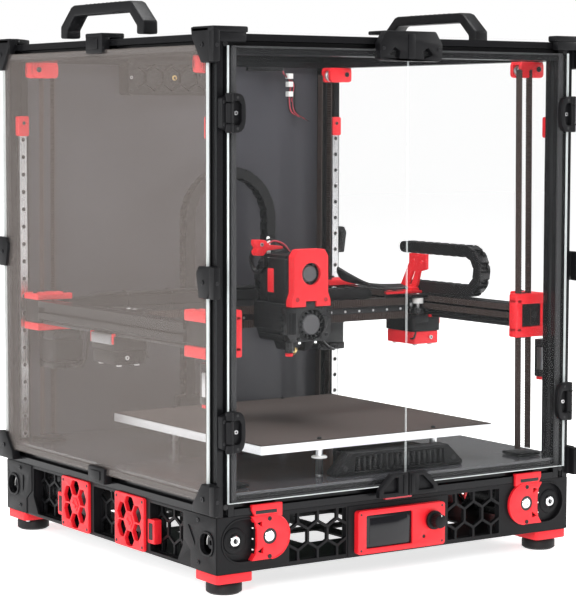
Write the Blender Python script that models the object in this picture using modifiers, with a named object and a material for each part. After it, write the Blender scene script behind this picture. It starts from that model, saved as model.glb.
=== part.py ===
"""Enclosed desktop 3-D printer with a flying gantry: frame, panels, motion parts, doors and fans.

Lengths are metres. Parts are placed in the frame's own coordinates, with X and Y centred on
the frame and Z = 0 at the underside of the base beams. One empty lifts them onto the feet.
"""
import math

import bmesh
import bpy

# Extrusion frame
FRAME = 0.460            # outer width and depth
POST_HEIGHT = 0.480
PROFILE = 0.020          # square T-slot section
GAP = 0.0003             # clearance between parts that touch
HALF = FRAME / 2
INNER = HALF - PROFILE   # inner faces of the posts
BEAM_HALF = INNER - GAP

# Feet and skirts
SKIRT_HEIGHT = 0.058
SKIRT_THICK = 0.004
PAD_HEIGHT = 0.010
PAD_SIZE = 0.0435
FOOT_HEIGHT = 0.013
FOOT_RADIUS = 0.0185
BASE_HEIGHT = SKIRT_HEIGHT + PAD_HEIGHT + FOOT_HEIGHT

# Panels and doors
PANEL_THICK = 0.003
PANEL_TAPE = 0.003       # foam strip between a panel and the frame
PANEL_LOW = 0.0145
PANEL_HIGH = 0.469
PANEL_HALF = 0.221
PANEL_FACE = HALF + PANEL_TAPE + GAP
DOOR_OUTER = 0.2155
DOOR_SEAM = 0.0012
DOOR_LOW = 0.014
DOOR_HIGH = 0.468
HINGE_X = 0.222
HINGE_Y = -0.2405

# Build plate
BED_SIZE = 0.305
BED_CENTRE_Y = -0.0395
BED_BOTTOM = 0.0516
BED_THICK = 0.0090
SHEET_THICK = 0.0008
BED_SCREW = 0.0755
DECK_THICK = 0.003

# Gantry
GANTRY_X = 0.215         # centre of the side beams
GANTRY_Z = 0.1795
BLOCK_INNER = 0.180
BLOCK_OUTER = 0.225
IDLER_FRONT = -0.200
IDLER_BACK = -0.158
IDLER_STEP = -0.186
IDLER_WEB = 0.2045
IDLER_LOW = 0.155
IDLER_HIGH = 0.204
DRIVE_FRONT = 0.160
DRIVE_BACK = 0.200
MOTOR_SIZE = 0.042
REAR_BEAM_Y = 0.180
CROSS_Y = 0.016
CROSS_Z = 0.175
JOINT_FRONT = -0.012
JOINT_BACK = 0.044

# Print head
HEAD_X = -0.0126
HEAD_WIDTH = 0.062
HEAD_BACK = -0.0073
HEAD_STEP = -0.068
HEAD_FRONT = -0.076
HEAD_LOW = 0.150
HEAD_HIGH = 0.243
NOZZLE_TIP = 0.1335
COWL_WIDTH = 0.052
COWL_FRONT = -0.080
COWL_LOW = 0.190
COWL_HIGH = 0.254
PART_FAN = (HEAD_X + 0.0036, 0.170)
HOTEND_FAN = (HEAD_X, 0.2265)

# Control panel on the front skirt
DISPLAY_X = -0.005
DISPLAY_SIZE = (0.114, 0.0077, 0.046)
DISPLAY_Z = -0.032
KNOB_X = 0.035
KNOB_Z = -0.027
KNOB_LENGTH = 0.0157
DISPLAY_FRONT = -HALF - GAP - DISPLAY_SIZE[1]
KNOB_TIP = DISPLAY_FRONT - GAP - KNOB_LENGTH

# The frame sits back by half of what the front overhangs more than the rear
FRAME_SHIFT = (-KNOB_TIP - (PANEL_FACE + PANEL_THICK)) / 2

AXIS_TURN = {"X": (0, math.pi / 2, 0), "Y": (math.pi / 2, 0, 0), "Z": (0, 0, 0)}
# Outline X, outline Y and thickness run along these directions
UPRIGHT_X = (math.pi / 2, 0, 0)             # X, Z, thickness along Y
UPRIGHT_Y = (math.pi / 2, 0, math.pi / 2)   # Y, Z, thickness along X
LYING = (0, 0, 0)                           # X, Y, thickness along Z

MATERIALS = {
    "black_extrusion": ((0.025, 0.025, 0.028), 0.35, 0.6),
    "black_plastic": ((0.03, 0.03, 0.032), 0.5, 0.0),
    "red_plastic": ((0.75, 0.03, 0.05), 0.42, 0.0),
    "clear_sheet": ((0.9, 0.92, 0.92), 0.08, 0.0),
    "smoked_sheet": ((0.35, 0.33, 0.32), 0.15, 0.0),
    "dark_panel": ((0.08, 0.08, 0.09), 0.35, 0.0),
    "rubber": ((0.02, 0.02, 0.02), 0.75, 0.0),
    "rail_steel": ((0.75, 0.75, 0.76), 0.25, 1.0),
    "aluminium_plate": ((0.82, 0.82, 0.84), 0.35, 1.0),
    "spring_sheet": ((0.16, 0.12, 0.10), 0.7, 0.1),
    "dark_rotor": ((0.05, 0.05, 0.055), 0.4, 0.0),
    "chain_plastic": ((0.02, 0.02, 0.022), 0.55, 0.0),
}


def clear_scene():
    for obj in list(bpy.data.objects):
        bpy.data.objects.remove(obj, do_unlink=True)


def make_collection(name):
    collection = bpy.data.collections.new(name)
    bpy.context.scene.collection.children.link(collection)
    return collection


def make_material(name):
    colour, roughness, metallic = MATERIALS[name]
    material = bpy.data.materials.get(name)
    if material is None:
        material = bpy.data.materials.new(name)
        material.use_nodes = True
        shader = material.node_tree.nodes["Principled BSDF"]
        shader.inputs["Base Color"].default_value = (*colour, 1.0)
        shader.inputs["Roughness"].default_value = roughness
        shader.inputs["Metallic"].default_value = metallic
    return material


class Shop:
    """Holds the collections and the empty that every part hangs from."""

    def __init__(self):
        self.parts = make_collection("fdm_printer")
        self.cutters = make_collection("cutters")
        self.origin = bpy.data.objects.new("frame_origin", None)
        self.origin.location = (0, FRAME_SHIFT, BASE_HEIGHT)
        self.parts.objects.link(self.origin)

    def add(self, name, data, finish, location=(0, 0, 0), rotation=(0, 0, 0)):
        obj = bpy.data.objects.new(name, data)
        obj.location = location
        obj.rotation_euler = rotation
        obj.parent = self.origin
        if finish is None:
            obj.hide_render = True
            obj.display_type = "WIRE"
            self.cutters.objects.link(obj)
        else:
            data.materials.append(make_material(finish))
            self.parts.objects.link(obj)
        return obj

    def box(self, name, low, high, finish=None, bevel=0.0):
        centre = [(a + b) / 2 for a, b in zip(low, high)]
        size = [b - a for a, b in zip(low, high)]
        shape = bmesh.new()
        bmesh.ops.create_cube(shape, size=1.0)
        bmesh.ops.scale(shape, vec=size, verts=shape.verts)
        obj = self.add(name, mesh_from(shape, name), finish, centre)
        if bevel:
            modifier = obj.modifiers.new("edges", "BEVEL")
            modifier.width = bevel
            modifier.segments = 1
        return obj

    def cylinder(self, name, radius, length, centre, finish=None, axis="Z", sides=32):
        shape = bmesh.new()
        bmesh.ops.create_cone(shape, cap_ends=True, segments=sides, radius1=radius,
                              radius2=radius, depth=length)
        return self.add(name, mesh_from(shape, name), finish, centre, AXIS_TURN[axis])

    def outline(self, name, points, thickness, centre, finish=None, turn=LYING):
        curve = bpy.data.curves.new(name, "CURVE")
        curve.dimensions = "2D"
        curve.fill_mode = "BOTH"
        curve.extrude = thickness / 2
        spline = curve.splines.new("POLY")
        spline.points.add(len(points) - 1)
        for target, (across, up) in zip(spline.points, points):
            target.co = (across, up, 0, 1)
        spline.use_cyclic_u = True
        return self.add(name, curve, finish, centre, turn)

    def turned(self, name, profile, centre, finish, rotation, sides=32):
        """Turns a profile of (radius, height) pairs, listed from the top down the outside."""
        mesh = bpy.data.meshes.new(name)
        edges = [(i, i + 1) for i in range(len(profile) - 1)]
        mesh.from_pydata([(radius, 0, height) for radius, height in profile], edges, [])
        obj = self.add(name, mesh, finish, centre, rotation)
        screw = obj.modifiers.new("turn", "SCREW")
        screw.steps = sides
        screw.render_steps = sides
        screw.use_merge_vertices = True
        screw.merge_threshold = 0.00001
        return obj


def mesh_from(shape, name):
    mesh = bpy.data.meshes.new(name)
    shape.to_mesh(mesh)
    shape.free()
    return mesh


def combine(obj, tool, operation):
    modifier = obj.modifiers.new(tool.name, "BOOLEAN")
    modifier.operation = operation
    modifier.solver = "EXACT"
    modifier.object = tool


def arc(centre, radius, start, end, steps):
    """Points on an arc, with angles in degrees."""
    points = []
    for i in range(steps + 1):
        angle = math.radians(start + (end - start) * i / steps)
        points.append((centre[0] + radius * math.cos(angle), centre[1] + radius * math.sin(angle)))
    return points


def t_slot_outline():
    """Square section with one T-shaped slot in the middle of each side."""
    half = PROFILE / 2
    mouth, lip, cavity, shoulder, depth, floor = 0.0031, 0.0018, 0.0055, 0.0010, 0.0060, 0.0025
    side = [(half, half), (mouth, half), (mouth, half - lip), (cavity, half - lip),
            (cavity, half - lip - shoulder), (floor, half - depth), (-floor, half - depth),
            (-cavity, half - lip - shoulder), (-cavity, half - lip), (-mouth, half - lip),
            (-mouth, half)]
    points = []
    for quarter in range(4):
        angle = quarter * math.pi / 2
        cosine, sine = round(math.cos(angle)), round(math.sin(angle))
        points += [(x * cosine - y * sine, x * sine + y * cosine) for x, y in side]
    return points


def add_beam(shop, name, axis, length, centre):
    shop.outline(name, t_slot_outline(), length, centre, "black_extrusion", AXIS_TURN[axis])


def add_frame(shop):
    middle = HALF - PROFILE / 2
    for side, x in (("left", -middle), ("right", middle)):
        for end, y in (("front", -middle), ("rear", middle)):
            add_beam(shop, f"post_{end}_{side}", "Z", POST_HEIGHT, (x, y, POST_HEIGHT / 2))
    levels = (("base", PROFILE / 2), ("top", POST_HEIGHT - PROFILE / 2))
    for level, z in levels:
        for end, y in (("front", -middle), ("rear", middle)):
            add_beam(shop, f"{level}_beam_{end}", "X", 2 * BEAM_HALF, (0, y, z))
        for side, x in (("left", -middle), ("right", middle)):
            add_beam(shop, f"{level}_beam_{side}", "Y", 2 * BEAM_HALF, (x, 0, z))


def add_feet(shop):
    outer = HALF
    inner = HALF - PAD_SIZE
    low = -SKIRT_HEIGHT - PAD_HEIGHT
    for side, sx in (("left", -1), ("right", 1)):
        for end, sy in (("front", -1), ("rear", 1)):
            name = f"foot_{end}_{side}"
            xs = sorted((sx * inner, sx * outer))
            ys = sorted((sy * inner, sy * outer))
            pad = shop.box(name, (xs[0], ys[0], low), (xs[1], ys[1], -SKIRT_HEIGHT - GAP), "rubber")
            centre = (sum(xs) / 2, sum(ys) / 2, low - FOOT_HEIGHT / 2 + 0.001)
            stub = shop.cylinder(f"{name}_stub", FOOT_RADIUS, FOOT_HEIGHT + 0.002, centre, sides=28)
            combine(pad, stub, "UNION")


def hexagon_cutter(shop, name, windows, place, turn):
    """Honeycomb cutter: pointed-top hexagons, clipped to each (start, end) window."""
    pitch, radius, depth = 0.0245, 0.01265, 0.020
    row = pitch * math.sqrt(3) / 2
    low, high = -SKIRT_HEIGHT + 0.0048, -0.0038
    middle = (low + high) / 2
    cells = bmesh.new()
    frames = bmesh.new()
    for start, end in windows:
        centre = (start + end) / 2
        reach = math.ceil((end - start) / pitch / 2) + 1
        for line in (-1, 0, 1):
            for step in range(-reach, reach + 1):
                u = centre + (step + 0.5 * (line % 2)) * pitch
                if abs(u - centre) > (end - start) / 2 + 0.35 * pitch:
                    continue
                made = bmesh.ops.create_cone(cells, cap_ends=True, segments=6, radius1=radius,
                                             radius2=radius, depth=depth)
                bmesh.ops.translate(cells, verts=made["verts"], vec=(u, middle + line * row, 0))
        made = bmesh.ops.create_cube(frames, size=1.0)
        bmesh.ops.scale(frames, verts=made["verts"], vec=(end - start, high - low, depth * 2))
        bmesh.ops.translate(frames, verts=made["verts"], vec=(centre, middle, 0))
    cutter = shop.add(name, mesh_from(cells, name), None, place, turn)
    frame = shop.add(f"{name}_windows", mesh_from(frames, name), None, place, turn)
    combine(cutter, frame, "INTERSECT")
    return cutter


FAN_Y = 0.060
FAN_Z = -SKIRT_HEIGHT / 2
FAN_HOLE = 0.0272
SIDE_EDGE = 0.160
SIDE_WINDOWS = ((-SIDE_EDGE, -0.094), (-0.0255, 0.0255), (0.094, SIDE_EDGE))
FRONT_WINDOWS = ((-0.140, -0.070), (0.061, 0.130))
REAR_WINDOWS = ((-0.160, -0.060), (-0.045, 0.045), (0.060, 0.160))


def add_skirts(shop):
    low = -SKIRT_HEIGHT
    high = -GAP
    inner = HALF - SKIRT_THICK
    short = inner - GAP
    face = HALF - SKIRT_THICK / 2
    for end, sy, windows in (("front", -1, FRONT_WINDOWS), ("rear", 1, REAR_WINDOWS)):
        ys = sorted((sy * inner, sy * HALF))
        skirt = shop.box(f"{end}_skirt", (-HALF, ys[0], low), (HALF, ys[1], high), "black_plastic")
        comb = hexagon_cutter(shop, f"{end}_comb", windows, (0, sy * face, 0), UPRIGHT_X)
        combine(skirt, comb, "DIFFERENCE")
    for side, sx in (("left", -1), ("right", 1)):
        xs = sorted((sx * inner, sx * HALF))
        skirt = shop.box(f"{side}_skirt", (xs[0], -short, low), (xs[1], short, high), "black_plastic")
        comb = hexagon_cutter(shop, f"{side}_comb", SIDE_WINDOWS, (sx * face, 0, 0), UPRIGHT_Y)
        combine(skirt, comb, "DIFFERENCE")
        for end, y in (("front", -FAN_Y), ("rear", FAN_Y)):
            hole = shop.cylinder(f"{side}_fan_hole_{end}", FAN_HOLE, 0.02, (sx * face, y, FAN_Z),
                                 axis="X", sides=36)
            combine(skirt, hole, "DIFFERENCE")


def add_panels(shop):
    face, back = PANEL_FACE, PANEL_FACE + PANEL_THICK
    low, high, half = PANEL_LOW, PANEL_HIGH, PANEL_HALF
    shop.box("left_panel", (-back, -half, low), (-face, half, high), "smoked_sheet")
    shop.box("right_panel", (face, -half, low), (back, half, high), "clear_sheet")
    shop.box("rear_panel", (-half, face, low), (half, back, high), "dark_panel")
    top = POST_HEIGHT + GAP
    shop.box("top_panel", (-half, -half, top), (half, half, top + PANEL_THICK), "clear_sheet")
    edge, notch = HALF - GAP, INNER - GAP
    corners = []
    for turn in range(4):
        angle = turn * math.pi / 2
        cosine, sine = round(math.cos(angle)), round(math.sin(angle))
        for x, y in ((edge, notch), (notch, notch), (notch, edge)):
            corners.append((x * cosine - y * sine, x * sine + y * cosine))
    shop.outline("deck_panel", corners, DECK_THICK,
                 (0, 0, PROFILE + GAP + DECK_THICK / 2), "dark_panel")


def add_doors(shop):
    front = -PANEL_FACE - PANEL_THICK
    handle_depth = 0.0062
    handle = [(0.0006, 0.0026), (0.0380, 0.0026), (0.0385, 0.0112), (0.0225, 0.0272),
              (0.0006, 0.0272)]
    for side, sx in (("left", -1), ("right", 1)):
        xs = sorted((sx * DOOR_SEAM / 2, sx * DOOR_OUTER))
        door = shop.box(f"{side}_door", (xs[0], front, DOOR_LOW), (xs[1], -PANEL_FACE, DOOR_HIGH),
                        "clear_sheet")
        set_origin(door, (sx * HINGE_X, HINGE_Y, 0))
        points = [(sx * x, z) for x, z in handle]
        grip = shop.outline(f"{side}_door_handle", points, handle_depth,
                            (0, front - GAP - handle_depth / 2, 0), "black_plastic", UPRIGHT_X)
        grip.name = f"{side}_door_handle"


def set_origin(obj, point):
    """Moves a mesh object's origin to a point in frame coordinates."""
    shift = [a - b for a, b in zip(obj.location, point)]
    for vertex in obj.data.vertices:
        vertex.co.x += shift[0]
        vertex.co.y += shift[1]
        vertex.co.z += shift[2]
    obj.location = point


def add_handles(shop):
    base = POST_HEIGHT + GAP + PANEL_THICK + GAP
    outer = [(-0.090, 0), (-0.090, 0.0135), (-0.066, 0.0335), (-0.060, 0.0355),
             (0.060, 0.0355), (0.066, 0.0335), (0.090, 0.0135), (0.090, 0)]
    inner = [(0.076, 0), (0.076, 0.0085), (0.060, 0.0230), (0.057, 0.0240),
             (-0.057, 0.0240), (-0.060, 0.0230), (-0.076, 0.0085), (-0.076, 0)]
    for side, sx in (("left", -1), ("right", 1)):
        handle = shop.outline(f"carry_handle_{side}", outer + inner, 0.018,
                              (sx * (HALF - PROFILE / 2), 0.004, base), "black_plastic", UPRIGHT_Y)
        handle.location.z = base


def add_z_rails(shop):
    width, depth, low, high = 0.009, 0.0065, 0.027, 0.377
    x = HALF - PROFILE / 2
    for side, sx in (("left", -1), ("right", 1)):
        for end, sy in (("front", -1), ("rear", 1)):
            ys = sorted((sy * (INNER - GAP), sy * (INNER - GAP - depth)))
            shop.box(f"z_rail_{end}_{side}", (sx * x - width / 2, ys[0], low),
                     (sx * x + width / 2, ys[1], high), "rail_steel")


def add_bed(shop):
    half = BED_SIZE / 2
    y0, y1 = BED_CENTRE_Y - half, BED_CENTRE_Y + half
    top = BED_BOTTOM + BED_THICK
    plate = shop.box("bed_plate", (-half, y0, BED_BOTTOM), (half, y1, top), "aluminium_plate")
    deck_top = PROFILE + GAP + DECK_THICK
    length = BED_BOTTOM - deck_top - GAP + 0.002
    for x in (-BED_SCREW, BED_SCREW):
        for y in (y0 + 0.006, y1 - 0.006):
            leg = shop.cylinder("bed_standoff", 0.004, length,
                                (x, y, deck_top + GAP + length / 2), sides=16)
            combine(plate, leg, "UNION")
    shop.box("build_sheet", (-half, y0, top + GAP), (half, y1, top + GAP + SHEET_THICK),
             "spring_sheet")


def add_filter(shop):
    deck_top = PROFILE + 2 * GAP + DECK_THICK
    # A long front part ahead of the bed's legs, and the cartridge behind its middle
    points = [(-0.070, -0.2093), (0.098, -0.2093), (0.098, -0.191), (0.064, -0.191),
              (0.064, -0.152), (-0.052, -0.152), (-0.052, -0.191), (-0.070, -0.191)]
    height = 0.0235
    shop.outline("filter_box", points, height, (0, 0, deck_top + height / 2), "black_plastic")


def add_display(shop):
    width, depth, height = DISPLAY_SIZE
    shop.box("display_housing", (DISPLAY_X - width / 2, DISPLAY_FRONT, DISPLAY_Z - height / 2),
             (DISPLAY_X + width / 2, DISPLAY_FRONT + depth, DISPLAY_Z + height / 2),
             "red_plastic", bevel=0.0025)
    outward = (math.pi / 2, 0, 0)
    base = (KNOB_X, DISPLAY_FRONT - GAP, KNOB_Z)
    shop.turned("encoder_shaft", [(0, 0.0110), (0.0030, 0.0110), (0.0030, 0.0006), (0, 0.0006)], base,
                "rail_steel", outward, sides=20)
    shop.turned("control_knob",
                [(0, KNOB_LENGTH), (0.0062, KNOB_LENGTH), (0.0070, KNOB_LENGTH - 0.0008),
                 (0.0072, 0.0060), (0.0100, 0.0052), (0.0100, 0.0012), (0.00306, 0.0012),
                 (0.00306, 0.0115), (0, 0.0115)], base, "black_plastic", outward, sides=36)


def add_gantry(shop):
    length = DRIVE_FRONT - IDLER_BACK - 2 * GAP
    middle = (DRIVE_FRONT + IDLER_BACK) / 2
    motor_inner = 0.164
    for side, sx in (("left", -1), ("right", 1)):
        add_beam(shop, f"gantry_beam_{side}", "Y", length, (sx * GANTRY_X, middle, GANTRY_Z))
        xs = sorted((sx * BLOCK_INNER, sx * BLOCK_OUTER))
        # L-shaped from above: the inboard part stands only in front of the belts
        corner = [(BLOCK_INNER, IDLER_FRONT), (BLOCK_OUTER, IDLER_FRONT), (BLOCK_OUTER, IDLER_BACK),
                  (IDLER_WEB, IDLER_BACK), (IDLER_WEB, IDLER_STEP), (BLOCK_INNER, IDLER_STEP)]
        shop.outline(f"idler_block_{side}", [(sx * x, y) for x, y in corner],
                     IDLER_HIGH - IDLER_LOW, (0, 0, (IDLER_HIGH + IDLER_LOW) / 2), "red_plastic")
        block = shop.box(f"drive_block_{side}", (xs[0], DRIVE_FRONT, 0.155),
                         (xs[1], DRIVE_BACK, 0.197), "red_plastic")
        ms = sorted((sx * motor_inner, sx * (motor_inner + MOTOR_SIZE)))
        motor = shop.box(f"drive_motor_{side}", (ms[0], DRIVE_FRONT - 0.001, 0.110),
                         (ms[1], DRIVE_BACK - 0.001, 0.160))
        combine(block, motor, "UNION")
    add_beam(shop, "gantry_beam_rear", "X", 2 * (BLOCK_INNER - GAP), (0, REAR_BEAM_Y, GANTRY_Z))


def add_cross_beam(shop):
    add_beam(shop, "cross_beam", "X", 2 * (BLOCK_INNER - GAP), (0, CROSS_Y, CROSS_Z))
    beam_inner = GANTRY_X - PROFILE / 2 - 0.0006
    under_rail = GANTRY_Z - PROFILE / 2 - 0.0065 - 0.0006
    low, high, reach = 0.131, 0.190, 0.222
    depth = JOINT_BACK - JOINT_FRONT
    middle = (JOINT_BACK + JOINT_FRONT) / 2
    section = [(BLOCK_INNER, high), (BLOCK_INNER, low), (reach, low), (reach, under_rail),
               (beam_inner, under_rail), (beam_inner, high)]
    for side, sx in (("left", -1), ("right", 1)):
        points = [(sx * x, z) for x, z in section]
        shop.outline(f"joint_block_{side}", points, depth, (0, middle, 0), "black_plastic",
                     UPRIGHT_X)


def rotor_outline(blades, hub, tip):
    """Curved fan blades on a hub, as one closed outline."""
    points = []
    share = 360 / blades
    for blade in range(blades):
        start = blade * share
        for turn, radius in ((0, hub), (0.20, hub * 0.45 + tip * 0.55), (0.46, tip), (0.74, tip),
                             (0.50, hub * 0.55 + tip * 0.45), (0.34, hub)):
            angle = math.radians(start + turn * share)
            points.append((radius * math.cos(angle), radius * math.sin(angle)))
    return points


def add_rotors(shop):
    for end, y in (("front", -FAN_Y), ("rear", FAN_Y)):
        shop.outline(f"skirt_fan_rotor_{end}", rotor_outline(7, 0.0135, 0.0262), 0.010,
                     (-HALF + 0.014, y, FAN_Z), "dark_rotor", UPRIGHT_Y)
    shop.outline("part_fan_rotor", rotor_outline(15, 0.0115, 0.0164), 0.007,
                 (PART_FAN[0], HEAD_FRONT + 0.0052, PART_FAN[1]), "dark_rotor", UPRIGHT_X)
    shop.outline("hotend_fan_rotor", rotor_outline(7, 0.0094, 0.0165), 0.007,
                 (HOTEND_FAN[0], COWL_FRONT + 0.0074, HOTEND_FAN[1]), "dark_rotor", UPRIGHT_X)


def add_head(shop):
    left, right = HEAD_X - HEAD_WIDTH / 2, HEAD_X + HEAD_WIDTH / 2
    body = shop.box("print_head_body", (left, HEAD_STEP, HEAD_LOW), (right, HEAD_BACK, HEAD_HIGH),
                    "black_plastic")
    chin = shop.box("head_chin", (left + 0.001, HEAD_FRONT, HEAD_LOW + 0.001),
                    (right - 0.001, HEAD_STEP + 0.003, COWL_LOW - GAP))
    combine(body, chin, "UNION")
    nozzle_height = HEAD_LOW - NOZZLE_TIP + 0.002
    shape = bmesh.new()
    bmesh.ops.create_cone(shape, cap_ends=True, segments=24, radius1=0.0015, radius2=0.0085,
                          depth=nozzle_height)
    nozzle = shop.add("head_nozzle", mesh_from(shape, "head_nozzle"), None,
                      (HEAD_X, -0.045, NOZZLE_TIP + nozzle_height / 2))
    combine(body, nozzle, "UNION")
    recess = shop.cylinder("part_fan_recess", 0.0172, 0.020,
                           (PART_FAN[0], HEAD_FRONT, PART_FAN[1]), axis="Y", sides=36)
    combine(body, recess, "DIFFERENCE")
    half = COWL_WIDTH / 2
    cowl = shop.box("print_head_cowl", (HEAD_X - half, COWL_FRONT, COWL_LOW),
                    (HEAD_X + half, HEAD_STEP - GAP, COWL_HIGH), "red_plastic", bevel=0.004)
    cavity = shop.cylinder("cowl_cavity", 0.0182, 0.020,
                           (HOTEND_FAN[0], COWL_FRONT + 0.0035 + 0.010, HOTEND_FAN[1]), axis="Y",
                           sides=36)
    mouth = shop.cylinder("cowl_mouth", 0.0123, 0.020, (HOTEND_FAN[0], COWL_FRONT, HOTEND_FAN[1]),
                          axis="Y", sides=36)
    combine(cowl, cavity, "DIFFERENCE")
    combine(cowl, mouth, "DIFFERENCE")


def loop_outline(leg_a, leg_b, radius, thickness):
    """U-shaped chain lying on its side: legs run towards +X from a bend round the origin.

    leg_a is the lower leg's length and leg_b the upper one's. radius is the bend's middle line.
    """
    outside, inside = radius + thickness / 2, radius - thickness / 2
    outer = arc((0, 0), outside, 90, 270, 16)
    inner = arc((0, 0), inside, 270, 90, 12)
    return ([(leg_b, outside)] + outer + [(leg_a, -outside), (leg_a, -inside)] + inner
            + [(leg_b, inside)])


CHAIN_WIDTH = 0.016
CHAIN_THICK = 0.0125


def add_chains(shop):
    y_radius = 0.0243
    y_low = GANTRY_Z + PROFILE / 2 + 2 * GAP
    y_bend = -0.103 + y_radius + CHAIN_THICK / 2
    shop.outline("y_chain", loop_outline(0.110, 0.046 - y_bend, y_radius, CHAIN_THICK), CHAIN_WIDTH,
                 (GANTRY_X, y_bend, y_low + CHAIN_THICK / 2 + y_radius), "chain_plastic", UPRIGHT_Y)
    x_radius = 0.0253
    x_low = CROSS_Z + PROFILE / 2 + 2 * GAP
    x_bend = -0.021 + x_radius + CHAIN_THICK / 2
    shop.outline("x_chain", loop_outline(0.130 - x_bend, 0.012 - x_bend, x_radius, CHAIN_THICK),
                 CHAIN_WIDTH, (x_bend, CROSS_Y, x_low + CHAIN_THICK / 2 + x_radius),
                 "chain_plastic", UPRIGHT_X)
    z_radius = 0.0596
    z_top = 0.339
    bend = z_top - z_radius - CHAIN_THICK / 2
    arch = loop_outline(bend - 0.196, bend - 0.062, z_radius, CHAIN_THICK)
    shop.outline("z_chain", [(-up, -across) for across, up in arch], CHAIN_WIDTH,
                 (0.058, 0.2012, bend), "chain_plastic", UPRIGHT_X)


def main():
    clear_scene()
    shop = Shop()
    add_frame(shop)
    add_feet(shop)
    add_skirts(shop)
    add_panels(shop)
    add_doors(shop)
    add_handles(shop)
    add_z_rails(shop)
    add_bed(shop)
    add_filter(shop)
    add_display(shop)
    add_gantry(shop)
    add_cross_beam(shop)
    add_rotors(shop)
    add_head(shop)
    add_chains(shop)


if __name__ == "__main__":
    main()
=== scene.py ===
"""Enclosed desktop 3-D printer: the visual model, laid out as a Blender add-on."""
import math
import random

import bmesh
import bpy
from bpy.props import FloatProperty, FloatVectorProperty, IntProperty, PointerProperty
from mathutils import Matrix, Vector
from mathutils.geometry import tessellate_polygon


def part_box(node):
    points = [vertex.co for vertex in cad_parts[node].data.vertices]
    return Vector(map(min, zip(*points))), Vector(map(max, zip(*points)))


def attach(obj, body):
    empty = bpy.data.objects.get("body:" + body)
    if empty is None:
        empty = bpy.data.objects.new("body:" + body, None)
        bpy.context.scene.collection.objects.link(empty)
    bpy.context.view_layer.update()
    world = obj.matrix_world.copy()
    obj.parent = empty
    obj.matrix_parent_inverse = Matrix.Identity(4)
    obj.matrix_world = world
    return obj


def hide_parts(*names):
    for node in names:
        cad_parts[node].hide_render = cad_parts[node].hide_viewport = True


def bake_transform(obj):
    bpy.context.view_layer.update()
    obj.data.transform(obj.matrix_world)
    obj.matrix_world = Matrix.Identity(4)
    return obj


bl_info = {
    "name": "Enclosed printer",
    "version": (1, 0, 0),
    "blender": (4, 5, 0),
    "location": "3D View > Sidebar > Printer",
    "description": "Builds the pieces and finishes of an enclosed desktop 3-D printer",
    "category": "Object",
}

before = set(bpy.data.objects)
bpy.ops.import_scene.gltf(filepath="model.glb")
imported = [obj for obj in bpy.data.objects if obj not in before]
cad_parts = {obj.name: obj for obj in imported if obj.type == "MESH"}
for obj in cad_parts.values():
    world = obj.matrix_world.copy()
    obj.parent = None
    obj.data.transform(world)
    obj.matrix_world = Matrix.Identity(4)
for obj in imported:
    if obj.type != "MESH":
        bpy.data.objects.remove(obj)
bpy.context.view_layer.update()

# The frame's own coordinates are in millimetres, centred on the posts, with Z = 0 under the beams
MM = 0.001
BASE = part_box("base_beam_front")[0][2]
SHIFT = (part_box("post_front_left")[0][1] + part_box("post_rear_left")[1][1]) / 2
SIDES = (("left", -1), ("right", 1))
ENDS = (("front", -1), ("rear", 1))
X, Y, Z = Vector((1, 0, 0)), Vector((0, 1, 0)), Vector((0, 0, 1))
# The recess finish is near-black painted shade, set inside holes, slots and housings where shade
# falls
RED, BLACK, BLACK_STEEL_AND_RAIL_SHADE, RECESS_SHADE = "red print", "black print", "black steel and painted rail shade", "painted recess shade"
GLOSS, WIRE = "gloss black", "wire black"

# Levels that several pieces share, in the frame's millimetres
DISPLAY_FACE = -238.0
FAN_YS, FAN_Z = (-60, 60), -29
HINGE_PIN = 222.0
FRONT_COMBS = ((-143, -72), (62, 133))
REAR_COMBS = ((-160, -60), (-45, 45), (60, 160))
SIDE_COMBS = ((-166, -97), (-24.5, 24.5), (97, 166))

# The camera's place in the frame's millimetres, and its azimuth, pitch and roll in degrees
CAMERA_SPOT = (-1360.2, -2025.8, 396.0)
CAMERA_TURN = (34.08, 4.79, 0.11)
# The backdrop is white to the camera and lights the machine at this level
AMBIENT = 0.27
# Name, place and target in metres, size and power
LIGHTS = (("key_light", (-2.4, -2.9, 2.0), (0, 0, 0.25), 1.3, 82),
          ("side_light", (2.8, -1.0, 1.5), (0, 0, 0.3), 0.9, 46),
          ("strip_light", (-3.0, 1.0, 1.2), (0, 0, 0.3), 0.8, 34),
          ("top_light", (0.2, 0.3, 2.6), (0, 0, 0.3), 1.6, 74))


def at(x, y, z):
    """A point in the frame's millimetres as a point in the scene."""
    return Vector((x * MM, y * MM + SHIFT, z * MM + BASE))


TO_SCENE = Matrix.Translation((0, SHIFT, BASE)) @ Matrix.Scale(MM, 4)


# ---------------------------------------------------------------- shader expressions

class Value:
    """A socket that can be used in arithmetic. Each operator adds its Math node."""

    def __init__(self, finish, socket):
        self.finish = finish
        self.socket = socket

    def maths(self, operation, *others):
        node = self.finish.tree.nodes.new("ShaderNodeMath")
        node.operation = operation
        for socket, value in zip(node.inputs, others):
            self.finish.feed(socket, value)
        return Value(self.finish, node.outputs[0])

    def __add__(self, other):
        return self.maths("ADD", self, other)

    def __radd__(self, other):
        return self.maths("ADD", other, self)

    def __sub__(self, other):
        return self.maths("SUBTRACT", self, other)

    def __rsub__(self, other):
        return self.maths("SUBTRACT", other, self)

    def __mul__(self, other):
        return self.maths("MULTIPLY", self, other)

    def __rmul__(self, other):
        return self.maths("MULTIPLY", other, self)

    def __truediv__(self, other):
        return self.maths("DIVIDE", self, other)

    def sine(self):
        return self.maths("SINE", self)

    def power(self, exponent):
        return self.maths("POWER", self, exponent)


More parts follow.
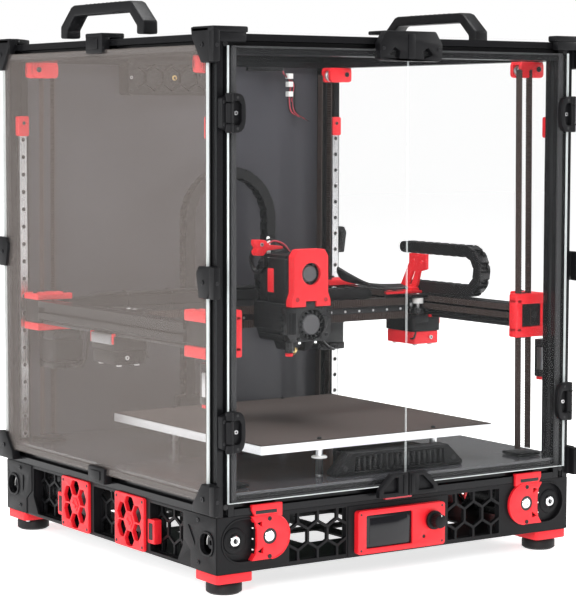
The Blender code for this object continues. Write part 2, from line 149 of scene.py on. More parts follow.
class Finish:
    """One material and the nodes that shade it."""

    def __init__(self, name, colour, roughness, metallic=0.0, **sockets):
        self.material = bpy.data.materials.new(name)
        self.material.use_nodes = True
        self.tree = self.material.node_tree
        self.shader = self.tree.nodes["Principled BSDF"]
        self.colour = (*colour[:3], 1.0)
        self.set(Base_Color=self.colour, Roughness=roughness, Metallic=metallic, **sockets)

    def feed(self, socket, value):
        if isinstance(value, Value):
            self.tree.links.new(value.socket, socket)
        else:
            socket.default_value = value

    def set(self, **sockets):
        for name, value in sockets.items():
            self.feed(self.shader.inputs[name.replace("_", " ")], value)

    def node(self, kind, settings=None, output=0, **sockets):
        """Adds a node: its settings first, then the values or links of its sockets."""
        node = self.tree.nodes.new(kind)
        for name, value in (settings or {}).items():
            if name == "stops":
                ramp = node.color_ramp.elements
                while len(ramp) < len(value):
                    ramp.new(0.5)
                for stop, (position, colour) in zip(ramp, value):
                    stop.position = position
                    stop.color = (*colour, 1.0) if len(colour) == 3 else colour
            else:
                setattr(node, name, value)
        for name, value in sockets.items():
            key = int(name[1:]) if name[1:].isdigit() else name.replace("_", " ")
            self.feed(node.inputs[key], value)
        return Value(self, node.outputs[output])

    def coordinates(self, stretch=(1, 1, 1)):
        place = self.node("ShaderNodeTexCoord", output="Object")
        return self.node("ShaderNodeMapping", Vector=place, Scale=stretch)

    def noise(self, scale, detail=3.0, stretch=(1, 1, 1)):
        return self.node("ShaderNodeTexNoise", Vector=self.coordinates(stretch), Scale=scale,
                         Detail=detail)

    def blend(self, factor, low, high):
        """Mixes two colours by a value."""
        return self.node("ShaderNodeMix", {"data_type": "RGBA"}, 2, Factor=factor, i6=low, i7=high)

    def shades(self, factor, low, high):
        """Roughness or another number between two limits."""
        return factor * (high - low) + low

    def tint(self, factor, amount):
        """Base colour that wanders by an amount each way."""
        dark = tuple(c * (1 - amount) for c in self.colour[:3]) + (1.0,)
        light = tuple(min(1.0, c * (1 + amount) + amount * 0.01) for c in self.colour[:3]) + (1.0,)
        self.set(Base_Color=self.blend(factor, dark, light))

    def relief(self, height, strength, distance):
        self.set(Normal=self.node("ShaderNodeBump", Height=height, Strength=strength,
                                  Distance=distance))


def printed(name, colour, roughness, layer, sheen=0.42):
    """Printed plastic: fine horizontal layers and slightly uneven sheen."""
    finish = Finish(name, colour, roughness, Specular_IOR_Level=sheen)
    place = finish.coordinates()
    height = finish.node("ShaderNodeSeparateXYZ", output=2, Vector=place)
    ridges = (height * (2 * math.pi / (layer * MM))).sine()
    mottle = finish.noise(420.0, 4.0)
    broad = finish.noise(22.0, 2.0)
    finish.tint(broad * 0.6 + mottle * 0.4, 0.16)
    finish.set(Roughness=finish.shades(mottle, roughness - 0.08, roughness + 0.10))
    finish.relief(ridges * 0.5 + mottle * 0.4, 0.12, 0.0002)
    return finish


def brushed(name, colour, roughness, grain, metallic=1.0, amount=0.12, relief=0.10, **sockets):
    """Metal with a fine grain along one direction."""
    finish = Finish(name, colour, roughness, metallic, **sockets)
    streaks = finish.noise(1.0, 4.0, grain)
    cloud = finish.noise(14.0, 2.0)
    finish.tint(streaks * 0.6 + cloud * 0.4, amount)
    finish.set(Roughness=finish.shades(streaks, roughness - 0.07, roughness + 0.09))
    finish.relief(streaks, relief, 0.0001)
    return finish


def moulded(name, colour, roughness, amount=0.12, scale=900.0, bump=0.12, **sockets):
    """Moulded plastic or rubber with a fine pebble."""
    finish = Finish(name, colour, roughness, **sockets)
    pebble = finish.noise(scale, 3.0)
    cloud = finish.noise(18.0, 2.0)
    finish.tint(pebble * 0.4 + cloud * 0.6, amount)
    finish.set(Roughness=finish.shades(cloud, roughness - 0.06, roughness + 0.08))
    finish.relief(pebble, bump, 0.0003)
    return finish


def pane(name, colour, alpha, roughness, haze=0.03, **sockets):
    """A clear or tinted sheet with faint smears."""
    finish = Finish(name, colour, roughness, IOR=1.49, **sockets)
    smears = finish.noise(5.0, 3.0)
    finish.set(Roughness=finish.shades(smears, roughness, roughness + 0.05),
               Alpha=finish.shades(smears, max(0.0, alpha - haze), alpha + haze))
    return finish


def make_finishes(looks):
    """Every finish of the machine, by name."""
    red, black = tuple(looks.accent), tuple(looks.body)
    made = {
        RED: printed("red_print", red, 0.44, looks.layer),
        BLACK: printed("black_print", black, 0.42, looks.layer, 0.16),
        "bar": brushed("black_bar", tuple(looks.bar), 0.24, (1500, 1500, 1500), 0.1, 0.1, 0.02,
                       Specular_IOR_Level=0.2),
        "cut bar": brushed("cut_bar", (0.30, 0.30, 0.31), 0.35, (300, 300, 300)),
        "rail": brushed("rail_steel", (0.74, 0.74, 0.75), 0.26, (600, 600, 14)),
        "steel": brushed("screw_steel", (0.62, 0.62, 0.63), 0.3, (500, 500, 500)),
        # Black steel for screws; on the steel rails the same dark colour is painted shade
        BLACK_STEEL_AND_RAIL_SHADE: brushed("black_screw_and_painted_rail_shade", (0.02, 0.02, 0.022), 0.34, (500, 500, 500), 0.5),
        "bearing": brushed("bearing_steel", (0.82, 0.82, 0.83), 0.18, (250, 250, 250)),
        "plate": brushed("bed_aluminium", (0.83, 0.84, 0.86), 0.32, (30, 500, 500), 1.0, 0.08),
        "brass": brushed("nozzle_brass", (0.78, 0.56, 0.22), 0.28, (400, 400, 400)),
        "rubber": moulded("foot_rubber", (0.009, 0.009, 0.010), 0.5, Specular_IOR_Level=0.3),
        "belt": moulded("toothed_belt", tuple(looks.belt), 0.68, 0.3, 700.0, 0.2),
        "chain": moulded("chain_plastic", (0.007, 0.007, 0.008), 0.38, Specular_IOR_Level=0.3),
        GLOSS: moulded("fan_plastic", (0.009, 0.009, 0.010), 0.26, 0.1, 600.0, 0.05,
                               Specular_IOR_Level=0.35),
        "fan hub": moulded("fan_hub", (0.085, 0.085, 0.09), 0.42, 0.1),
        "nylon": moulded("white_nylon", (0.86, 0.86, 0.84), 0.45, 0.05),
        WIRE: moulded("wire_black", (0.008, 0.008, 0.009), 0.35, Specular_IOR_Level=0.35),
        "wire red": moulded("wire_red", (0.55, 0.05, 0.08), 0.42),
        "magnet": moulded("magnet_strip", (0.62, 0.03, 0.05), 0.35, 0.05),
        "foam": moulded("foam_tape", (0.03, 0.03, 0.032), 0.9, 0.2, 1500.0, 0.5),
        "board": moulded("circuit_board", (0.02, 0.13, 0.06), 0.35, 0.3, 250.0),
        "tin": brushed("supply_casing", (0.66, 0.67, 0.68), 0.36, (20, 400, 400)),
        "silicone": moulded("heater_silicone", (0.60, 0.20, 0.06), 0.55),
        # Painted shade for holes and recesses
        RECESS_SHADE: moulded("painted_recess_shade", (0.008, 0.008, 0.009), 0.6),
        "clear": pane("clear_sheet", (0.5, 0.52, 0.52), looks.clear, 0.03, 0.006,
                      Specular_IOR_Level=0.15),
        # The left panel's grey-brown layer is partly a smoked tint and partly painted reflection
        # haze
        "smoked": pane("smoked_sheet", tuple(looks.smoke), looks.smoked, 0.25, 0.01,
                       Specular_IOR_Level=0.1),
        "deck": moulded("deck_sheet", (0.045, 0.045, 0.050), 0.14, 0.08, 1200.0, 0.01,
                        Specular_IOR_Level=0.5),
        "back": moulded("rear_sheet", (0.072, 0.071, 0.082), 0.22, 0.05, 1200.0, 0.01,
                        Specular_IOR_Level=0.25),
    }
    # Whitish half-clear strips along the panel and door edges: painted highlights
    made["painted edge highlight"] = Finish("painted_edge_highlight", (0.9, 0.95, 0.95), 0.25)
    made["painted edge highlight"].set(Alpha=0.75)
    grain = Finish("printing_sheet", tuple(looks.sheet), 0.62)
    speck, broad = grain.noise(1400.0, 4.0), grain.noise(9.0, 3.0)
    spots = grain.node("ShaderNodeTexVoronoi", Vector=grain.coordinates(), Scale=1500.0)
    grain.tint(speck * 0.7 + broad * 0.3, 0.45)
    grain.set(Roughness=grain.shades(speck, 0.46, 0.78))
    grain.relief(speck * 0.6 + spots * 0.5, 0.6, 0.0003)
    made["grain"] = grain
    screen = Finish("display_glass", (0.006, 0.006, 0.008), 0.08, Coat_Weight=0.2,
                    Specular_IOR_Level=0.25)
    streak = screen.noise(60.0, 2.0)
    screen.tint(streak, 0.2)
    screen.set(Roughness=screen.shades(streak, 0.05, 0.14))
    made["screen"] = screen
    lamp = Finish("lamp", (0.95, 0.95, 0.95), 0.4, Emission_Strength=1.2)
    lamp.set(Emission_Color=(1.0, 0.99, 0.96, 1.0))
    made["lamp"] = lamp
    return made


FINISH = {}


# ---------------------------------------------------------------- piece building

class Piece:
    """One object made of many small solids, each with its own finish. Sizes are millimetres."""

    def __init__(self, name):
        self.name = name
        self.shape = bmesh.new()
        self.finishes = []

    def take(self, shape, finish, bevel=0.0, segments=2, turn=None):
        """Adds a small solid, with its sharp edges softened."""
        if bevel:
            shape.normal_update()
            sharp = [e for e in shape.edges if e.is_manifold and e.calc_face_angle(0) > 0.5]
            if sharp:
                bmesh.ops.bevel(shape, geom=sharp, offset=bevel, segments=segments, profile=0.6,
                                affect="EDGES", clamp_overlap=True)
        if turn is not None:
            shape.transform(turn)
        if finish not in self.finishes:
            self.finishes.append(finish)
        index = self.finishes.index(finish)
        for face in shape.faces:
            face.material_index = index
        mesh = bpy.data.meshes.new("solid")
        shape.to_mesh(mesh)
        shape.free()
        self.shape.from_mesh(mesh)
        bpy.data.meshes.remove(mesh)
        return self

    def box(self, low, high, finish, bevel=0.8, turn=None):
        shape = bmesh.new()
        bmesh.ops.create_cube(shape, size=1.0)
        centre = [(a + b) / 2 for a, b in zip(low, high)]
        bmesh.ops.scale(shape, vec=[abs(b - a) for a, b in zip(low, high)], verts=shape.verts)
        bmesh.ops.translate(shape, vec=centre, verts=shape.verts)
        return self.take(shape, finish, bevel, turn=turn)

    def lathe(self, profile, origin, axis, finish, sides=32):
        """Turns (radius, height) pairs about an axis, in order from one end to the other."""
        shape = bmesh.new()
        across, up = basis(axis)
        rings = []
        for radius, height in profile:
            centre = Vector(origin) + Vector(axis).normalized() * height
            if radius < 1e-6:
                rings.append([shape.verts.new(centre)])
                continue
            rings.append(round_row(shape, centre, radius, across, up, sides))
        for one, two in zip(rings, rings[1:]):
            if len(one) == 1 and len(two) == 1:
                continue
            for i in range(sides):
                j = (i + 1) % sides
                corners = [one[i % len(one)], one[j % len(one)], two[j % len(two)],
                           two[i % len(two)]]
                shape.faces.new(list(dict.fromkeys(corners)))
        for ring in (rings[0], rings[-1]):
            if len(ring) > 1 and rings[0] is not rings[-1] and profile[0] != profile[-1]:
                shape.faces.new(ring)
        if profile[0] == profile[-1]:
            bmesh.ops.remove_doubles(shape, verts=shape.verts, dist=1e-5)
        bmesh.ops.recalc_face_normals(shape, faces=shape.faces)
        return self.take(shape, finish)

    def rod(self, start, end, radius, finish, sides=24, edge=0.4):
        """A round bar between two points with softened ends."""
        start, end = Vector(start), Vector(end)
        length = (end - start).length
        edge = min(edge, radius * 0.5, length * 0.3)
        profile = [(0, 0), (radius - edge, 0), (radius, edge), (radius, length - edge),
                   (radius - edge, length), (0, length)]
        return self.lathe(profile, start, end - start, finish, sides)

    def ring(self, centre, axis, outer, inner, width, finish, sides=32):
        """A round tube of a width, centred on a point."""
        half, edge = width / 2, min(0.3, (outer - inner) * 0.25)
        profile = [(inner, -half + edge), (inner + edge, -half), (outer - edge, -half),
                   (outer, -half + edge), (outer, half - edge), (outer - edge, half),
                   (inner + edge, half), (inner, half - edge), (inner, -half + edge)]
        return self.lathe(profile, centre, axis, finish, sides)

    def plate(self, outline, plane, low, high, finish, bevel=0.6, holes=(), turn=None, segments=2):
        """A flat outline between two levels. plane names its two directions, such as "xz"."""
        shape = bmesh.new()
        low, high = sorted((low, high))
        loops = [list(outline)] + [list(hole) for hole in holes]
        flat = [[Vector((a, b, 0)) for a, b in loop] for loop in loops]
        points = [p for loop in flat for p in loop]
        order = {"xy": 2, "xz": 1, "yz": 0}[plane]
        spots = []
        for level in (low, high):
            places = [[point.x, point.y] for point in points]
            for place in places:
                place.insert(order, level)
            spots.append([shape.verts.new(place) for place in places])
        triangles = tessellate_polygon(flat)
        triangles = {tuple(sorted(t)): t for t in triangles if len(set(t)) == 3}.values()
        for row in spots:
            for triangle in triangles:
                shape.faces.new([row[i] for i in triangle])
        start = 0
        for loop in flat:
            for i in range(len(loop)):
                a, b = start + i, start + (i + 1) % len(loop)
                shape.faces.new([spots[0][a], spots[0][b], spots[1][b], spots[1][a]])
            start += len(loop)
        bmesh.ops.recalc_face_normals(shape, faces=shape.faces)
        bmesh.ops.dissolve_limit(shape, angle_limit=0.01, verts=shape.verts, edges=shape.edges)
        return self.take(shape, finish, bevel, segments, turn)

    def tube(self, points, radius, finish, sides=8, smooth=True):
        """A round lead along points."""
        path = spline(points) if smooth else [Vector(p) for p in points]
        shape = bmesh.new()
        rings = []
        across = basis(path[1] - path[0])[0]
        for i, point in enumerate(path):
            ahead = path[min(i + 1, len(path) - 1)] - path[max(i - 1, 0)]
            along = ahead.normalized()
            across = (across - along * across.dot(along)).normalized()
            rings.append(round_row(shape, point, radius, across, along.cross(across), sides))
        for one, two in zip(rings, rings[1:]):
            for i in range(sides):
                j = (i + 1) % sides
                shape.faces.new([one[i], one[j], two[j], two[i]])
        shape.faces.new(rings[0][::-1])
        shape.faces.new(rings[-1])
        bmesh.ops.recalc_face_normals(shape, faces=shape.faces)
        return self.take(shape, finish)

    def screw(self, spot, axis, radius=2.8, finish="steel", head=2.2):
        """A cap screw's head with its hexagon socket, standing on a face."""
        axis = Vector(axis).normalized()
        socket = radius * 0.52
        self.lathe([(0, -1.0), (radius * 0.94, -1.0), (radius, 0), (radius, head * 0.75),
                    (radius * 0.86, head), (socket, head), (socket, head * 0.4), (0, head * 0.4)],
                   spot, axis, finish, 18)
        # The socket's floor is a dark disc of painted shade
        self.lathe([(0, 0), (socket * 0.93, 0), (socket * 0.93, 0.25), (0, 0.25)],
                   Vector(spot) + axis * head * 0.4, axis, RECESS_SHADE, 6)
        return self

    def done(self, body, stands_for=(), slot=None):
        """Makes the object, which then moves with a body."""
        bmesh.ops.transform(self.shape, matrix=TO_SCENE, verts=self.shape.verts)
        mesh = bpy.data.meshes.new(self.name)
        self.shape.to_mesh(mesh)
        self.shape.free()
        for finish in self.finishes:
            mesh.materials.append(FINISH[finish].material)
        mesh.polygons.foreach_set("use_smooth", [True] * len(mesh.polygons))
        mesh.set_sharp_from_angle(angle=math.radians(32))
        obj = bpy.data.objects.new(self.name, mesh)
        bpy.context.scene.collection.objects.link(obj)
        if body is not None:
            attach(obj, body)
        if stands_for:
            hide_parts(*stands_for)
        return obj


def round_row(shape, centre, radius, across, up, sides):
    """A ring of new vertices in the plane of two directions."""
    turns = (2 * math.pi * i / sides for i in range(sides))
    return [shape.verts.new(centre + radius * (math.cos(turn) * across + math.sin(turn) * up))
            for turn in turns]


def basis(axis):
    """Two directions square to an axis."""
    axis = Vector(axis).normalized()
    helper = Z if abs(axis.z) < 0.9 else X
    across = axis.cross(helper).normalized()
    return across, axis.cross(across)


def spline(points, steps=6):
    """A smooth path through points."""
    points = [Vector(p) for p in points]
    ends = [2 * points[0] - points[1]] + points + [2 * points[-1] - points[-2]]
    path = []
    for a, b, c, d in zip(ends, ends[1:], ends[2:], ends[3:]):
        for i in range(steps):
            t = i / steps
            path.append(0.5 * (2 * b + (c - a) * t + (2 * a - 5 * b + 4 * c - d) * t * t
                               + (3 * b - a - 3 * c + d) * t ** 3))
    return path + [points[-1]]


def rounded(x0, y0, x1, y1, radius, steps=5):
    """A rectangle's outline with rounded corners."""
    (x0, x1), (y0, y1) = sorted((x0, x1)), sorted((y0, y1))
    points = []
    for cx, cy, start in ((x1 - radius, y0 + radius, 270), (x1 - radius, y1 - radius, 0),
                          (x0 + radius, y1 - radius, 90), (x0 + radius, y0 + radius, 180)):
        points += arc((cx, cy), radius, start, start + 90, steps)
    return points


def arc(centre, radius, start, end, steps):
    """Points along part of a circle, between two angles in degrees."""
    turns = [math.radians(start + (end - start) * i / steps) for i in range(steps + 1)]
    return [(centre[0] + radius * math.cos(turn), centre[1] + radius * math.sin(turn))
            for turn in turns]


def circle(centre, radius, sides=32):
    return arc(centre, radius, 0, 360 * (sides - 1) / sides, sides - 1)


def flip(points, side):
    """An outline of the right side, or its mirror image for the left."""
    return [(side * x, y) for x, y in points]


def clip(polygon, x0, y0, x1, y1):
    """The part of a convex polygon inside a rectangle."""
    for axis, limit, keep in ((0, x0, 1), (0, x1, -1), (1, y0, 1), (1, y1, -1)):
        result = []
        for one, two in zip(polygon, polygon[1:] + polygon[:1]):
            inside_one = (one[axis] - limit) * keep >= 0
            inside_two = (two[axis] - limit) * keep >= 0
            if inside_one:
                result.append(one)
            if inside_one != inside_two:
                t = (limit - one[axis]) / (two[axis] - one[axis])
                result.append((one[0] + t * (two[0] - one[0]), one[1] + t * (two[1] - one[1])))
        polygon = result
        if len(polygon) < 3:
            return []
    return polygon


def within(polygon, border):
    """The part of a convex polygon inside another, both listed anticlockwise."""
    for a, b in zip(border, border[1:] + border[:1]):
        result = []
        for one, two in zip(polygon, polygon[1:] + polygon[:1]):
            side_one = (b[0] - a[0]) * (one[1] - a[1]) - (b[1] - a[1]) * (one[0] - a[0])
            side_two = (b[0] - a[0]) * (two[1] - a[1]) - (b[1] - a[1]) * (two[0] - a[0])
            if side_one >= 0:
                result.append(one)
            if (side_one >= 0) != (side_two >= 0):
                t = side_one / (side_one - side_two)
                result.append((one[0] + t * (two[0] - one[0]), one[1] + t * (two[1] - one[1])))
        polygon = result
    return polygon


def area(polygon):
    pairs = zip(polygon, polygon[1:] + polygon[:1])
    return abs(sum(a[0] * b[1] - b[0] * a[1] for a, b in pairs)) / 2


def honeycomb(x0, y0, x1, y1, pitch, rib):
    """Pointed-top hexagon holes that fill a rectangle."""
    radius = (pitch - rib) / math.sqrt(3)
    row = pitch * math.sqrt(3) / 2
    cx, cy = (x0 + x1) / 2, (y0 + y1) / 2
    holes = []
    lines = math.ceil((y1 - y0) / 2 / row) + 1
    across = math.ceil((x1 - x0) / 2 / pitch) + 1
    for line in range(-lines, lines + 1):
        for step in range(-across, across + 1):
            centre = (cx + (step + 0.5 * (line % 2)) * pitch, cy + line * row)
            cell = clip(arc(centre, radius, 30, 330, 5), x0, y0, x1, y1)
            if cell and area(cell) > 18:
                holes.append(cell)
    return holes


# ---------------------------------------------------------------- settings

def colour(name, use, default):
    """A colour setting."""
    return FloatVectorProperty(name=name, description=f"Colour of the {use}", subtype="COLOR",
                               size=3, min=0, max=1, default=default)


def cover(name, panel, default):
    """A setting of how much a panel hides."""
    return FloatProperty(name=name, description=f"How much {panel} hides", subtype="FACTOR",
                         min=0, max=1, default=default)


def length(name, use, low, high, default):
    """A size in millimetres."""
    return FloatProperty(name=name, description=f"{use}, mm", min=low, max=high, default=default)


class PrinterLooks(bpy.types.PropertyGroup):
    """Colours and surface scales that a user would change."""

    accent: colour("Accent", "accent prints", (0.82, 0.012, 0.022))
    body: colour("Body", "dark prints", (0.0065, 0.0065, 0.0075))
    bar: colour("Bars", "anodised bars", (0.007, 0.007, 0.008))
    belt: colour("Belts", "toothed belts", (0.030, 0.015, 0.011))
    sheet: colour("Printing sheet", "printing sheet", (0.040, 0.026, 0.021))
    # Left panel colour and cover: a smoked tint with painted reflection haze
    smoke: colour("Tinted panel with painted reflection", "left panel", (0.45, 0.395, 0.365))
    smoked: cover("Tinted panel with painted reflection, cover", "the left panel", 0.13)
    clear: cover("Clear panel cover", "a clear panel", 0.012)
    layer: length("Layer height", "Height of the printed layers", 0.1, 1.0, 0.35)


class PrinterSizes(bpy.types.PropertyGroup):
    """Sizes of the small pieces, in millimetres."""

    comb_pitch: length("Comb pitch", "Distance between honeycomb cells", 12, 40, 24.5)
    comb_rib: length("Comb rib", "Width of the honeycomb ribs", 1, 6, 2.7)
    link_pitch: length("Link pitch", "Length of one cable chain link", 8, 30, 15.0)
    tooth_pitch: length("Tooth pitch", "Belt tooth pitch", 1.5, 6, 3.0)
    rail_pitch: length("Rail holes", "Distance between rail holes", 10, 40, 20.0)
    slats: IntProperty(name="Filter slats", description="Slats on the filter box", min=5, max=40,
                       default=16)
    focal: length("Focal length", "Lens focal length", 20, 300, 129.43)


def paint(finish, *nodes):
    """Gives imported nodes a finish."""
    for name in nodes:
        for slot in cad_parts[name].material_slots:
            slot.link = "OBJECT"
            slot.material = FINISH[finish].material


class PieceOperator(bpy.types.Operator):
    """Adds pieces of the printer"""
    bl_idname = "printer.piece"
    bl_label = "Piece"
    bl_options = {"REGISTER", "UNDO"}


# ---------------------------------------------------------------- stage

class PRINTER_OT_stage(PieceOperator):
    """Floor, soft light and camera"""
    bl_idname = "printer.stage"
    bl_label = "Stage"

    def execute(self, context):
        scene = context.scene
        FINISH.update(make_finishes(scene.printer_looks))
        floor_mesh = bpy.data.meshes.new("floor")
        reach = 9.0
        corners = [(-reach, -reach, 0), (reach, -reach, 0), (reach, reach, 0), (-reach, reach, 0)]
        floor_mesh.from_pydata(corners, [], [(0, 1, 2, 3)])
        floor = bpy.data.objects.new("floor", floor_mesh)
        scene.collection.objects.link(floor)
        pale = Finish("floor_paper", (0.93, 0.93, 0.93), 0.85)
        paper = pale.noise(3.0, 2.0)
        pale.set(Roughness=pale.shades(paper, 0.8, 0.9))
        pale.set(Emission_Color=(1.0, 1.0, 1.0, 1.0), Emission_Strength=0.74)
        floor_mesh.materials.append(pale.material)

        world = bpy.data.worlds.new("studio")
        world.use_nodes = True
        backdrop = world.node_tree.nodes["Background"]
        backdrop.inputs["Color"].default_value = (1.0, 1.0, 1.0, 1.0)
        seen = world.node_tree.nodes.new("ShaderNodeLightPath")
        level = world.node_tree.nodes.new("ShaderNodeMath")
        level.operation = "MULTIPLY_ADD"
        level.inputs[1].default_value = 1.0 - AMBIENT
        level.inputs[2].default_value = AMBIENT
        world.node_tree.links.new(seen.outputs["Is Camera Ray"], level.inputs[0])
        world.node_tree.links.new(level.outputs[0], backdrop.inputs["Strength"])
        scene.world = world
        scene.view_settings.view_transform = "Standard"
        scene.view_settings.look = "None"

        for name, spot, target, size, power in LIGHTS:
            lamp = bpy.data.lights.new(name, "AREA")
            lamp.size = size
            lamp.energy = power
            obj = bpy.data.objects.new(name, lamp)
            obj.location = spot
            facing = Vector(target) - Vector(spot)
            obj.rotation_euler = facing.to_track_quat("-Z", "Y").to_euler()
            scene.collection.objects.link(obj)

        lens = bpy.data.cameras.new("camera")
        lens.lens = scene.printer_sizes.focal
        lens.sensor_width = 36.0
        lens.clip_end = 60.0
        camera = bpy.data.objects.new("camera", lens)
        azimuth, pitch, roll = (math.radians(turn) for turn in CAMERA_TURN)
        ahead = Vector((math.sin(azimuth) * math.cos(pitch), math.cos(azimuth) * math.cos(pitch),
                        -math.sin(pitch)))
        camera.rotation_euler = (ahead.to_track_quat("-Z", "Y").to_matrix() @
                                 Matrix.Rotation(roll, 3, "Z")).to_euler()
        camera.location = at(*CAMERA_SPOT)
        scene.collection.objects.link(camera)
        scene.camera = camera
        return {"FINISHED"}


# ---------------------------------------------------------------- frame, feet and skirts

class PRINTER_OT_frame(PieceOperator):
    """Finishes of the bars and sheets, with the bar joint screws darkened by painted shade, and
    painted highlight strips along the panel edges
    """
    bl_idname = "printer.frame"
    bl_label = "Frame"

    def execute(self, context):
        paint("bar", *[f"post_{e}_{s}" for e, _ in ENDS for s, _ in SIDES],
              *[f"{level}_beam_{e}" for level in ("base", "top") for e in
                ("front", "rear", "left", "right")], "gantry_beam_left", "gantry_beam_right",
              "gantry_beam_rear", "cross_beam")
        paint("rail", *[f"z_rail_{e}_{s}" for e, _ in ENDS for s, _ in SIDES])
        paint("deck", "deck_panel")
        paint("back", "rear_panel")
        # Left panel: tinted, with painted reflection haze in its colour
        paint("smoked", "left_panel")
        paint("clear", "right_panel", "top_panel", "left_door", "right_door")
        paint(GLOSS, "skirt_fan_rotor_front", "skirt_fan_rotor_rear", "part_fan_rotor",
              "hotend_fan_rotor")
        paint("steel", "encoder_shaft")
        paint("plate", "bed_plate")
        paint("grain", "build_sheet")

        # Dark discs on the posts at the bar joints: the black joint screws in their access holes,
        # darkened with painted shade
        joints = Piece("bar_joint_screws_and_shade")
        for _, sx in SIDES:
            for _, sy in ENDS:
                for level in (10, 470):
                    for a, b, c, d in ((229.6, 220, 230.3, 220), (220, 229.6, 220, 230.3)):
                        joints.rod((sx * a, sy * b, level), (sx * c, sy * d, level), 2.9, RECESS_SHADE,
                                   14, 0.1)
        joints.done("cabinet", slot="black_extrusion")

        tape = Piece("panel_tape")
        for _, sx in SIDES:
            for y in (-219, 214):
                tape.box((sx * 230.1, y, 16), (sx * 233.2, y + 5, 468), "foam", 0.4)
            for z in (15, 463):
                tape.box((sx * 230.1, -214, z), (sx * 233.2, 214, z + 5), "foam", 0.4)
        for x in (-219, 214):
            tape.box((x, 230.1, 16), (x + 5, 233.2, 468), "foam", 0.4)
        tape.done("cabinet", slot="foot_rubber")

        # Painted highlight strips on the side panels' front and rear edges
        edges = Piece("painted_edge_highlights")
        for _, sx in SIDES:
            for y in (-221.2, 220.7):
                edges.box((sx * 233.2, y, 14.6), (sx * 236.35, y + 0.5, 469), "painted edge highlight", 0)
        edges.done("cabinet", slot="clear_panel")
        return {"FINISHED"}


class PRINTER_OT_feet(PieceOperator):
    """Corner pads and rubber feet"""
    bl_idname = "printer.feet"
    bl_label = "Feet"

    def execute(self, context):
        for end, sy in ENDS:
            for side, sx in SIDES:
                foot = Piece(f"foot_pad_{end}_{side}")
                foot.plate(rounded(sx * 186.5, sy * 186.5, sx * 230, sy * 230, 4.5), "xy", -68,
                           -58.2, RED, 1.2)
                cx, cy = sx * 208.25, sy * 208.25
                foot.lathe([(0, 0), (15.5, 0), (18.5, 2.2), (18.5, 9.5), (17, 12.6), (12, 13.2),
                            (0, 13.2)][::-1], (cx, cy, -81), Z, "rubber", 40)
                foot.screw((cx, cy, -80.4), -Z, 4.0, "steel", 0.4)
                for dx in (-1, 1):
                    foot.screw((cx + dx * 14, cy - sy * 14, -68), -Z, 2.6)
                foot.done("cabinet", [f"foot_{end}_{side}"], "foot_rubber")
        return {"FINISHED"}


def corner_port(edge, low, high):
    """The wide round-ended opening at a front corner, which runs in under the bracket."""
    radius, middle = (high - low) / 2, (low + high) / 2
    start = 184 + (226 - edge)
    return [(start, high), (start, low)] + arc((edge - radius, middle), radius, -90, 90, 12)


